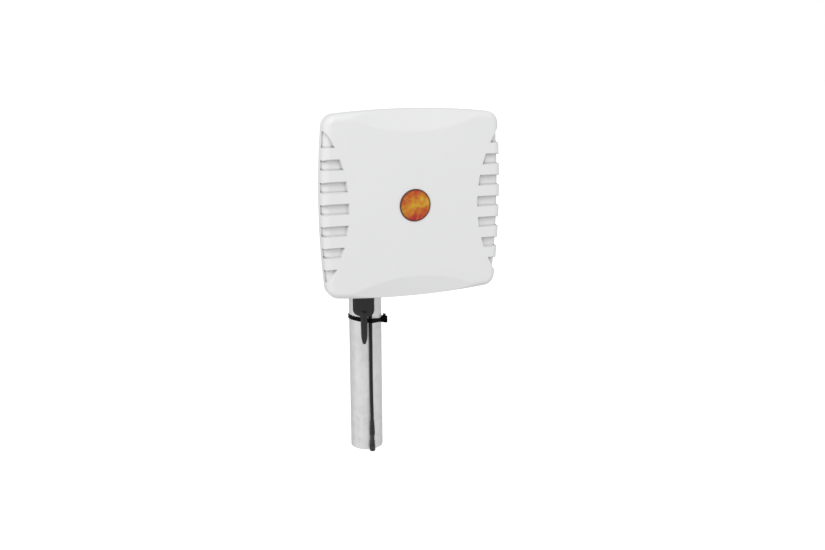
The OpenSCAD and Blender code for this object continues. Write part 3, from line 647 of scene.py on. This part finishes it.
def windings():
    """Two layers on the mast: up next to the pipe, out, and down over the first layer."""
    def point(a, r, z):
        return (r * math.sin(math.radians(a)), -r * math.cos(math.radians(a)), z)
    step = 12.0
    start, bottom = 184.9, 270
    top = bottom + 12.5 * 360
    out = []
    for a in np.arange(start + step, bottom, step):
        out.append(point(a, LAYER_1, 284 + 3.5 * ((a - start) / (bottom - start)) ** 1.2))
    for a in np.arange(bottom, top, step):
        out.append(point(a, LAYER_1, COIL_LOW + (COIL_HIGH - COIL_LOW) * (a - bottom) / (top - bottom)))
    for a in np.arange(top, top + 90, step):
        t = (a - top) / 90
        out.append(point(a, LAYER_1 + (LAYER_2 - LAYER_1) * t * t * (3 - 2 * t), COIL_HIGH))
    first, last = top + 90, 310 + 24 * 360
    for a in np.arange(first, last - 1, step):
        out.append(point(a, LAYER_2, COIL_HIGH + (FEEDER[0][2] - COIL_HIGH) * (a - first) / (last - first)))
    return out


def lay_cord(name, points, body):
    """A cord's piece, and its path in metres. A body of None leaves it riding no body."""
    piece = make(name, *tube(points, CABLE_R), body, "cable_jacket")
    return piece, [[c * MM for c in p] for p in points]


tilt_points = smooth_route(LOOP_TILT, 2.0)
loop_tilt, tilt_path = lay_cord("lead_tilt_loop", tilt_points, None)
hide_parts("cable_loop_tilt")
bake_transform(loop_tilt)

pan_points = smooth_route(LOOP_PAN, 2.0)
loop_pan, pan_path = lay_cord("lead_pan_loop", pan_points, None)
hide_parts("cable_loop_pan")
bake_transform(loop_pan)

main_points = smooth_route([LOOP_PAN[-2], LOOP_PAN[-1]] + windings() + FEEDER, 4.0)
begin = int(np.argmin(np.linalg.norm(main_points - np.array(LOOP_PAN[-1]), axis=1)))
lead, lead_path = lay_cord("lead_wound_and_down", main_points[begin:], "root")
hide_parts("cable_coil", "feeder_cable")


# ---------- panel: x and z from its middle, y from its face towards the back ----------
def outline(x, z):
    """Distance from the panel's outline, whose four sides bow outwards."""
    far = SIDE_R - HALF
    dx = np.hypot(np.abs(x) + far, z) - SIDE_R
    dz = np.hypot(x, np.abs(z) + far) - SIDE_R
    return rmax(dx, dz, CORNER_R)


def screws(x, z):
    """Distance from the nearest cover screw's axis."""
    x, z = np.abs(x), np.abs(z)
    return np.minimum(np.hypot(x - SCREW_FAR, z - SCREW_NEAR), np.hypot(x - SCREW_NEAR, z - SCREW_FAR))


def front_skin(x, y, z):
    """The front cover's outside, without its back: face, fillet, bevels and the recesses of the gills."""
    lean = math.radians(BEVEL_A)
    big = BEVEL_R / math.sin(lean)
    body = rmax(outline(x, z), -y, EDGE_R)
    bevel = big - np.hypot(x, y * math.cos(lean) - (np.abs(z) - BEVEL_Z) * math.sin(lean) + big)
    whole = rmax(body, bevel, 0.3)
    row = GILL_PITCH * np.clip(np.round(z / GILL_PITCH), -3, 3)
    near = np.clip(y, 0, GILL_DEPTH)
    above = np.where(z > GILL_LAST, z - GILL_END, z - row - GILL_HALF) + 0.36 * near
    band = np.maximum(above / 1.06, np.where(z < -GILL_LAST, -z - GILL_END, row - z - GILL_HALF))
    zone = (np.hypot(np.abs(x) - GILL_ARC_X, z) - GILL_ARC_R + 0.3 * near) / 1.04
    bed = rmax(outline(x, z) + 2, GILL_DEPTH - y, EDGE_R - 2)
    kept = rmin(rmin(-zone, -band, 0.5), rmin(bed, 15 - y, 0.5), 0.3)
    return rmax(whole, kept, 0.45)


def front_cover(x, y, z):
    outside = front_skin(x, y, z)
    return np.maximum(rmax(outside, y - FRONT_DEPTH, 0.5), -(outside + WALL))


def rear_skin(x, y, z):
    """The rear cover's outside, without its front, with the recesses for its screws and two holes."""
    side = outline(x, z)
    slope = (side + y - REAR_SLOPE) / math.sqrt(2)
    outside = rmax(rmax(side, slope, 7.0), y - PANEL_DEPTH, 7.0)
    outside = rmax(outside, -np.maximum(screws(x, z) - 5, 31 - y), 0.6)
    low_holes = np.minimum(np.hypot(x, z + 58) - 6.1, np.hypot(x - 62, z + 62) - 4.1)
    return np.maximum(outside, -np.maximum(low_holes, 27 - y))


def rear_cover(x, y, z):
    side = outline(x, z)
    slope = (side + y - REAR_SLOPE) / math.sqrt(2)
    hollow = np.maximum(side + 8, rmax(slope + WALL, y - PANEL_DEPTH + WALL, 7.0))
    boss = screws(x, z) - 7
    return np.maximum(rmax(rear_skin(x, y, z), FRONT_DEPTH - y, 0.5), -np.maximum(hollow, -boss))


in_panel = at(*PANEL)
moulded("front_shell", front_cover, (-126, 0, -126), (126, 25, 126), 1.05, in_panel, "panel", "radome_white",
        "front_cover")
moulded("rear_shell", rear_cover, (-126, 25, -126), (126, 42, 126), 1.2, in_panel, "panel", "rear_white",
        "rear_cover")

# the badge: a resin dome with a rolled edge, its axis along -Y
dome = [(0.001, 0.0), (21.5, 0.0), (21.5, 0.35), (21.38, 0.72), (21.1, 0.98), (20.6, 1.15)]
dome += [(20.6 * (1 - k / 14), 1.15 + 0.45 * (1 - (1 - k / 14) ** 2)) for k in range(1, 14)] + [(0.001, 1.6)]
fitted("badge_dome", turned(dome, 96), [in_panel @ turn(90, "X")], "panel", "badge_orange", "badge")


# ---------- fasteners ----------
def socket_screw(radius, height, shank_r, shank_len, socket):
    """A button screw with a hexagon socket; its head stands on z = 0."""
    angles = circle(60)
    hexa = socket / np.cos((angles + math.pi / 6) % (math.pi / 3) - math.pi / 6)
    profile = [
        (0.001, -shank_len), (shank_r * 0.8, -shank_len), (shank_r, -shank_len + 0.5), (shank_r, 0.0),
        (radius, 0.25), (radius, height * 0.35), (radius * 0.93, height * 0.72),
        (radius * 0.74, height * 0.94), (socket * 1.28, height), (socket * 1.16, height - 0.12),
        (hexa, height - 0.25), (hexa, height * 0.42), (hexa * 0.9, height * 0.38), (0.001, height * 0.36)]
    return np.concatenate([ring(angles, r, z) for r, z in profile]), skin(len(profile), len(angles))


cover_at = [in_panel @ turn(90 * q, "Y") @ at(SCREW_FAR, 31, s * SCREW_NEAR) @ turn(-90, "X")
            for q in range(4) for s in (-1, 1)]
fitted("cover_screw_set", socket_screw(4.0, 2.6, 1.55, 15.0, 1.5), cover_at, "panel", "stainless",
       "cover_screws")
bracket_at = [in_panel @ at(sx * 22, 46, sz * 25) @ turn(-90, "X") for sx in (-1, 1) for sz in (-1, 1)]
fitted("bracket_screw_set", socket_screw(4.2, 4.0, 2.5, 14.0, 2.0), bracket_at, "panel", "stainless",
       "bracket_screws")

tilt_axis = at(PANEL[0], TILT_Y, PANEL[2]) @ turn(-90, "Y")
pan_axis = at(PANEL[0], PAN_Y, PANEL[2])
seat = CHEEK_OUT + M8["washer"]
bolt_8 = hex_bolt(M8, 7.96, 2 * seat + M8["nut"] + 3)
for name, axis, body in (("tilt", tilt_axis, "panel"), ("pan", pan_axis, "root")):
    for part, form, heights, node in (
            ("_bolt_hex", bolt_8, [seat], "_bolt"),
            ("_nut_hex", hex_nut(M8, 8), [-seat - M8["nut"]], "_nut"),
            ("_washer_pair", washer(M8, 4.2), [CHEEK_OUT, -seat], "_washers")):
        fitted(name + part, form, [axis @ at(0, 0, z) for z in heights], body, "stainless", name + node)

in_clamp = at(0, 0, PANEL[2]) @ turn(ARM_A, "Z")
front_seat, back_seat = CLAMP_FRONT + M6["washer"], CLAMP_BACK + M6["washer"]
bolt_6 = hex_bolt(M6, 6, front_seat + back_seat + M6["nut"] + 3)
for part, form, heights in (
        ("bolt", bolt_6, [front_seat]),
        ("nut", hex_nut(M6, 6), [-back_seat - M6["nut"]]),
        ("washer", washer(M6, 3.2), [CLAMP_FRONT, -back_seat])):
    places = [in_clamp @ at(sx * CLAMP_X, 0, sz * CLAMP_Z) @ turn(90, "X") @ at(0, 0, z)
              for sx in (-1, 1) for sz in (-1, 1) for z in heights]
    fitted("clamp_" + part + "_set", form, places, "root", "stainless", "clamp_" + part + "s")


# ---------- bracket and clamp ----------
def tilt_bracket(x, y, z):
    corner = rmax(np.abs(x) - 30, np.abs(z) - 32, 5)
    plate = rmax(corner, np.abs(y - 44) - 2, 0.9)
    half = 16 - 5 * (y - 48) / 12
    side = np.where(y > 60, np.hypot(y - 60, z) - 11, np.maximum((np.abs(z) - half) * 0.92, -y + 43))
    cheek = rmax(side, np.abs(np.abs(x) - CHEEK_MID) - CHEEK_HALF, 1.3)
    whole = rmin(plate, cheek, 3.0)
    return rmax(whole, -(np.hypot(y - 60, z) - 4.2), 0.5)


def swivel(x, y, z):
    pan_knuckle = rmax(np.hypot(x, y) - 11, np.abs(z) - 12, 1.0)
    tilt_knuckle = rmax(np.hypot(y + 26, z) - 11, np.abs(x) - 12, 1.0)
    neck = box(x, y, z, (-8, -26, -9), (8, 0, 9), 2.0)
    whole = rmin(rmin(pan_knuckle, tilt_knuckle, 2.5), neck, 2.5)
    bores = np.minimum(np.hypot(x, y), np.hypot(y + 26, z)) - 4.05
    return rmax(whole, -bores, 0.5)


def clamp_holes(x, z):
    return np.hypot(np.abs(x) - CLAMP_X, np.abs(z) - CLAMP_Z) - 3.3


def clamp_arm(x, y, z):
    block = box(x, y, z, (-44, -30, -25), (44, -1.5, 25), 2.5)
    boss = box(x, y, z, (-28.5, -34, -25), (28.5, -20, 25), 2.5)
    jaw = rmin(block, boss, 0.6)
    t = np.clip((y + ARM_REACH) / (ARM_REACH - 34), 0, 1)
    side = np.where(y < -ARM_REACH, np.hypot(x, y + ARM_REACH) - 12, (np.abs(x) - 12 - 10 * t) * 0.9)
    cheek = rmax(np.maximum(side, y + 25), np.abs(np.abs(z) - CHEEK_MID) - CHEEK_HALF, 1.3)
    web = box(x, y, z, (-16, -40.4, -15), (16, -30, 15), 0.8)
    whole = rmin(rmin(jaw, cheek, 3.0), web, 2.5)
    whole = rmax(whole, -(np.hypot(x, y) - CLAMP_R), 0.5)
    whole = rmax(whole, -(np.hypot(x, y + ARM_REACH) - 4.2), 0.5)
    return rmax(whole, -clamp_holes(x, z), 0.5)


def clamp_jaw(x, y, z):
    base = box(x, y, z, (-44, 1.5, -25), (44, 15.5, 25), 2.5)
    back = box(x, y, z, (-28.5, 1.5, -25), (28.5, 31.5, 25), 4.0)
    whole = rmin(base, back, 0.6)
    radius = np.hypot(x, y)
    step = np.radians(10.0)
    angle = np.arctan2(y, x)
    tooth = np.abs(angle - step * np.round(angle / step)) * CLAMP_R
    whole = rmax(whole, -(radius - CLAMP_R - np.maximum(0, 1.6 - tooth)) * 0.7, 0.3)
    return rmax(whole, -clamp_holes(x, z), 0.5)


for node, form, lo, hi, step, place, body in (
        ("tilt_bracket", tilt_bracket, (-30, 42, -32), (30, 71, 32), 0.9, in_panel, "panel"),
        ("swivel", swivel, (-12, -37, -12), (12, 11, 12), 0.8, pan_axis, "swivel"),
        ("clamp_arm", clamp_arm, (-44, -68, -25), (44, -1.5, 25), 1.0, in_clamp, "root"),
        ("clamp_jaw", clamp_jaw, (-44, 1.5, -25), (44, 31.5, 25), 1.0, in_clamp, "root")):
    moulded(node + "_casting", form, lo, hi, step, place, body, "bracket_black", node)

# ---------- mast ----------
in_row = Matrix.Identity(4)
seat_r, seat_z = BORE_R + 0.6, 464      # the wider bore at the top, which holds the cap
pipe = rounded([(BORE_R, 240), (BORE_R, 0), (MAST_R, 0), (MAST_R, MAST_LEN), (seat_r, MAST_LEN),
                (seat_r, seat_z), (BORE_R, seat_z), (BORE_R, 240)], 0.45, 4)[:-1]
fitted("mast_pipe", turned(pipe, 128), [in_row], "root", "mast_galvanised", "mast_tube")
top = MAST_LEN + 5.0
cap = [(0.001, top)] + rounded([(12, top), (20.2, top), (23.4, 483.3), (MAST_R, 482.6), (MAST_R, MAST_LEN),
                                (21.75, MAST_LEN)], 0.8)
cap += ribs(4, 21.1, 0, 477, -3, [(0, 0), (0.65, -0.6), (0.65, -1.2), (0, -1.8)])
cap += [(21.1, 465), (18.75, 465), (18.75, 479.5), (0.001, 479.5)]
fitted("mast_cap_ribbed", turned(cap, 96), [in_row], "root", "guide_nylon", "mast_cap")


# ---------- cable guide ----------
def capsule(px, py, r1, r2, h):
    """Distance from the hull of a circle r1 at the origin and one r2 at height h."""
    px = np.abs(px)
    b = (r1 - r2) / h
    a = math.sqrt(1 - b * b)
    k = -b * px + a * py
    return np.where(k < 0, np.hypot(px, py) - r1,
                    np.where(k > a * h, np.hypot(px, py - h) - r2, px * a + py * b - r1))


def cable_guide(x, y, z):
    """In the row frame; u and w are the guide's own axes, turned round the mast."""
    c, s = math.cos(math.radians(GUIDE_A)), math.sin(math.radians(GUIDE_A))
    u, w = x * c + y * s, -x * s + y * c
    lower = 213.5 - z
    base = rmax(rmax(np.abs(u) - 15.5, lower, np.where(u < 0, 10.5, 8.0)),
                np.maximum(z - 256, np.abs(w + 24.5) - 6), 1.0)
    front = rmax(rmax(np.abs(u) - 12.5, lower, np.where(u < 0, 11.5, 8.5)),
                 rmax(z - 256, np.abs(w + 30.5) - 3.5, 0.8), 1.6)
    whole = rmin(base, front, 1.2)
    t = np.clip((217.5 - z) / 46, 0, 1)
    size = 5.8 - 0.7 * t - 2.4 * np.clip((t - 0.7) / 0.3, 0, 1) ** 1.8
    stem_u = u - 1.0
    depth = (w + 31.5 - 0.8 * t)
    stem = np.hypot(stem_u, np.maximum(np.abs(depth) - (1.1 - 0.6 * t), 0) * 1.25) - size * 0.86
    stem = rmin(stem, np.hypot(stem_u, depth + 1.9) - 1.2, 1.2) * 0.85
    stem = rmax(stem, np.maximum(z - 221.5, 171 - z), 2.0)
    whole = rmin(whole, stem, 2.2)
    heel = box(u, w, z, (-4.2, -29.5, 198.5), (4.2, -21.8, 217.5), 0.8)
    heel = np.maximum(heel, -np.maximum(-w - 29.4, np.abs(z - 206) - 3.8))
    whole = rmin(whole, heel, 0.8)
    whole = rmax(whole, -(np.hypot(x, y) - AROUND_R), 0.3)
    rise = np.clip((z - 213.5) / 42.5, 0, 1)
    channel = np.hypot(x, np.minimum(y + LAYER_1 + 1.4 * rise, 0)) - 2.8 - 0.2 * rise
    whole = rmax(whole, -channel, 0.4)
    hull = capsule(x, -y, AROUND_R, 2.6, LAYER_1)
    slot = np.maximum(np.abs(hull - 0.75) - 1.05, np.abs(z - 246.5) - 2.9)
    return rmax(whole, -slot, 0.3)


moulded("cable_guide_moulding", cable_guide, (-27, -37, 170), (12, -13, 257), 0.6, in_row, "root",
        "guide_nylon", "cable_guide")

# ---------- cable ties ----------
# the strap's section: how far it stands out from what it holds, and its height
STRAP = [(0.05, 0.3), (0.05, 4.7), (0.3, 5.0), (1.15, 5.0), (1.4, 4.75), (1.27, 4.2), (1.27, 0.8),
         (1.4, 0.25), (1.15, 0.0), (0.3, 0.0)]


def strap(circles, corners, z, count=240):
    """A band drawn tight round circles and corners."""
    angle = circle(count)
    n = np.stack([np.cos(angle), np.sin(angle)], 1)
    reach = np.full(count, -1e9)
    line = np.zeros((count, 2))
    for cx, cy, r in circles + [(a, b, 0.0) for a, b in corners]:
        h = n @ np.array([cx, cy]) + r
        ahead = h > reach
        reach[ahead] = h[ahead]
        line[ahead] = (np.array([cx, cy]) + r * n)[ahead]
    verts = np.zeros((count, len(STRAP), 3))
    for k, (out, up) in enumerate(STRAP):
        verts[:, k, :2] = line + out * n
        verts[:, k, 2] = z + up
    verts = verts.reshape(-1, 3)
    return verts, outwards(verts, skin(count, len(STRAP), closed=True))


def tie_head(inner, length):
    """The tie's head, with its pawl window, and the cut tail that stands out of it."""
    def f(x, y, z):
        head = box(x, y, z, (-3.5, -inner - length, -1.8), (3.5, -inner, 6.8), 0.9)
        window = box(np.abs(x), y, z, (2.8, -inner - length + 1.6, 0.5), (4.5, -inner - 2.6, 4.5), 0.3)
        head = rmax(head, -window, 0.2)
        c, s = math.cos(math.radians(25)), math.sin(math.radians(25))
        lx, lz = (x + 0.9) * c - (z - 0.3) * s, (x + 0.9) * s + (z - 0.3) * c
        tail = box(lx, y, lz, (0, -inner - 6.5, 3), (1.3, -inner - 2.1, 10), 0.35)
        teeth = np.abs((lz / 1.1) % 1.0 - 0.5) * 0.5
        tail = np.maximum(tail, -(lx - 0.05 - teeth * 0.5) * 0.8)
        return np.minimum(head, tail)
    return f


def tie(name, circles, corners, z, head_a, inner, length, hides=(), lean=(0.0, 0.0, 0.0), tall=1.0):
    """A tie whose head is turned to head_a. lean tips it by x and by y and then lifts it."""
    verts, faces = strap(circles, corners, z)
    place = at(0, 0, z) @ turn(head_a, "Z")
    points, quads, _ = solid(tie_head(inner, length), (-4.5, -inner - length, -2), (7, -inner, 10.5), 0.45)
    v, f = join([(verts, faces), (placed(points, place), quads.tolist())])
    middle = z + 2.5
    v[:, 2] = middle + tall * (v[:, 2] - middle) + lean[0] * v[:, 0] + lean[1] * v[:, 1] + lean[2]
    return make(name, v, f, "root", "tie_black", hides)


c, s = math.cos(math.radians(GUIDE_A)), math.sin(math.radians(GUIDE_A))
heel = [(x * c - y * s, x * s + y * c) for x in (-4.5, 4.5) for y in (-26.05, -24.05)]
mast_and_lead = [(0, 0, AROUND_R), (0, -LAYER_1, 2.6)]
tie("tie_low", mast_and_lead, heel, 203.5, 70, MAST_R, 9, ["cable_ties"], (-0.136, -0.0655, -2.6), 1.18)
tie("tie_high", mast_and_lead, [], 244, 100, MAST_R, 9)
around_coil = LAYER_2 + CABLE_R + 0.3
tie("tie_coil_low", [(0, 0, around_coil)], [], COIL_LOW + 12, 160, around_coil - 0.3, 8, ["coil_ties"])
tie("tie_coil_high", [(0, 0, around_coil)], [], COIL_HIGH - 18, 160, around_coil - 0.3, 8)

# ---------- plug on the end of the lead ----------
in_plug = at(0, PLUG_Y, 0)
boot = [(2.52, 26.0), (3.7, 26.0), (3.9, 26.4), (3.9, 31.5)]
boot += ribs(6, 3.85, 0.13, 32.2, 2.5, [(-0.55, 0), (-0.55, 0.7), (0, 1.0), (-0.04, 2.1)])
boot += [(2.95, 48.0), (2.75, 49.8), (2.52, 50.0)]
plug_boot = fitted("plug_boot_ribbed", turned(boot), [in_plug], "root", "guide_nylon", "plug_boot")


def ferrule_radius(angles, r, z):
    """Flats low down, and a knurled grip above them."""
    if r > 3.1 and z > 16.25:
        wave = 0.12 * np.cos(36 * angles) if 16.6 < z < 25.4 else 0.0
        return r - 0.06 + wave * 0.5
    return hexagon(7.2, 0.02)(angles, r, z) if r > 3.3 else r


ferrule = [(0.5, 8.0), (0.5, 26.0), (3.05, 26.0), (3.2, 25.6), (3.2, 16.3), (3.75, 16.2), (3.9, 16.0),
           (3.9, 10.5), (3.7, 10.2), (2.9, 10.2), (2.9, 6.6), (2.7, 6.3), (2.0, 6.3), (2.0, 10.0),
           (0.52, 10.0)]
plug_body = fitted("plug_ferrule", turned(ferrule, 144, ferrule_radius), [in_plug], "root", "plug_black",
                   "plug_body")
pin = [(0.001, 6.4), (0.18, 6.42), (0.38, 6.75), (0.45, 7.2), (0.45, 20.2), (0.4, 20.4), (0.001, 20.4)]
plug_pin = fitted("plug_contact", turned(pin, 32), [in_plug], "root", "contact_gold", "plug_pin")
nut = [(3.2, 0.5), (3.95, 0.5), (4.6, 1.0), (4.6, 6.6), (4.35, 6.75), (4.05, 6.9), (4.05, 7.4), (4.2, 7.6),
       (4.2, 9.6), (3.95, 9.9), (2.96, 9.9), (2.96, 6.0)]
nut += ribs(7, 3.2, 0, 5.9, -0.75, [(0, 0), (0.22, -0.3), (0, -0.6)])
plug_nut = fitted("plug_coupling_nut", turned(nut, 96, hexagon(7.97, 0.02)), [in_plug], "coupling_nut",
                  "plug_black", "plug_nut")

# ---------- gland and vent on the panel's back ----------
gland_axis = in_panel @ at(0, 0, -58) @ turn(-90, "X")
gland = [(2.5, 37.0), (6.0, 37.0), (6.0, 42.0), (8.45, 42.0), (8.6, 42.2), (8.6, 45.5), (8.2, 46.0),
         (6.0, 46.0), (6.0, 50.0), (2.5, 50.0)]
fitted("gland_base", turned(gland, 96, hexagon(14.9)), [gland_axis], "panel", "gland_plastic", "gland_body")
nut = [(6.05, 46.2), (7.7, 46.2), (8.0, 46.6), (8.0, 52.2), (7.6, 53.0), (6.9, 53.3), (6.5, 54.2),
       (6.1, 54.8), (5.6, 55.0), (5.3, 54.7), (5.3, 53.0), (6.05, 53.0)]
fitted("gland_dome_nut", turned(nut, 96, hexagon(13.86)), [gland_axis], "panel", "gland_plastic", "gland_nut")
sleeve = [(2.55, 50.0), (5.0, 50.0), (5.0, 54.0), (4.7, 56.0), (4.4, 58.0)]
sleeve += ribs(5, 4.32, 0.17, 58.8, 2.8, [(-0.45, 0), (-0.45, 0.8), (0, 1.1), (-0.06, 2.4)])
sleeve += [(3.4, 73.4), (3.2, 74.0), (2.55, 74.0)]
fitted("gland_sleeve", turned(sleeve), [gland_axis], "panel", "gasket_rubber", "gland_seal")
vent = [(0.001, 38.0), (4.0, 38.0), (4.0, 42.0), (6.8, 42.0), (7.0, 42.3), (7.0, 43.8), (6.6, 44.3),
        (5.2, 44.5), (4.9, 44.2), (3.4, 44.2), (3.1, 44.5), (0.001, 44.5)]
notched = turned(vent, 96, lambda a, r, z: np.where((np.cos(12 * a) > 0.55) & (r > 6.4), r - 0.4, r))
vent_axis = in_panel @ at(62, 0, -62) @ turn(-90, "X")
fitted("vent_cap", notched, [vent_axis], "panel", "gland_plastic", "vent_plug")

# ---------- finishes of the CAD nodes that stay ----------
finish_of = {s["node"]: s["material_slot"] for s in frame["record"]["subparts"]}
for name, node in frame["nodes"].items():
    finish = MAT[finish_of[name]]
    if not node.material_slots:
        node.data.materials.append(finish)
    for one in node.material_slots:
        one.material = finish

# ---------- floor and light ----------
material, tree, shader = nodes_of("studio_floor")
paint = noise(tree, coordinates(tree), 3.0, 3.0)
colour = ramp(tree, paint, [(0.3, (0.86, 0.86, 0.86)), (0.7, (0.88, 0.88, 0.88))])
tree.links.new(colour, shader.inputs["Base Color"])
shader.inputs["Roughness"].default_value = 0.9
shader.inputs["Specular IOR Level"].default_value = 0.1
shader.inputs["Emission Color"].default_value = (1, 1, 1, 1)
shader.inputs["Emission Strength"].default_value = 0.45
floor_mesh = bpy.data.meshes.new("studio_floor")
rim = [(18 * math.cos(a), 18 * math.sin(a), 0) for a in circle(48)]
floor_mesh.from_pydata([(0, 0, 0)] + rim, [], [(0, 1 + k, 1 + (k + 1) % len(rim)) for k in range(len(rim))])
floor_mesh.materials.append(material)
floor = bpy.data.objects.new("studio_floor", floor_mesh)
floor.location = (0, 0, -0.0003)
bpy.context.scene.collection.objects.link(floor)
floor.visible_diffuse = False
floor.visible_glossy = False

# the light by its direction: more from in front and from the sides than from behind, and white level with the
# object; the camera itself sees plain white
world = bpy.data.worlds.new("studio")
world.use_nodes = True
sky = world.node_tree
x, y, z = split(sky, sky.nodes.new("ShaderNodeTexCoord").outputs["Generated"])
level = mixed(sky, spread(sky, z, 0.0, 1.0, -0.3, 0.3), spread(sky, y, 1.10, 0.72, -0.9, 0.9),
              spread(sky, y, 0.895, 0.665, -0.9, 0.9), "FLOAT")
left = calc(sky, "ADD", level, spread(sky, x, 0.38, 0.0, -1.0, -0.5))
sides = calc(sky, "ADD", left, spread(sky, x, 0.0, 0.10, 0.5, 1.0))
horizon = spread(sky, calc(sky, "ABSOLUTE", z), 1.0, 0.0, 0.08, 0.12)
strength = calc(sky, "MAXIMUM", sides, horizon)
backdrop = mixed(sky, sky.nodes.new("ShaderNodeLightPath").outputs["Is Camera Ray"], strength, 1.0, "FLOAT")
sky.links.new(backdrop, sky.nodes["Background"].inputs["Strength"])
sky.nodes["Background"].inputs["Color"].default_value = (1.0, 1.0, 1.0, 1.0)
bpy.context.scene.world = world


def soft_light(name, location, target, size, watts):
    data = bpy.data.lights.new(name, "AREA")
    data.shape = "DISK"
    data.size = size
    data.energy = watts
    obj = bpy.data.objects.new(name, data)
    obj.location = location
    obj.rotation_euler = (Vector(target) - Vector(location)).to_track_quat("-Z", "Y").to_euler()
    bpy.context.scene.collection.objects.link(obj)


soft_light("key", (-0.9, -1.6, 2.5), (0, 0, 0.35), 1.1, 34.0)
bpy.context.scene.view_settings.view_transform = "Standard"
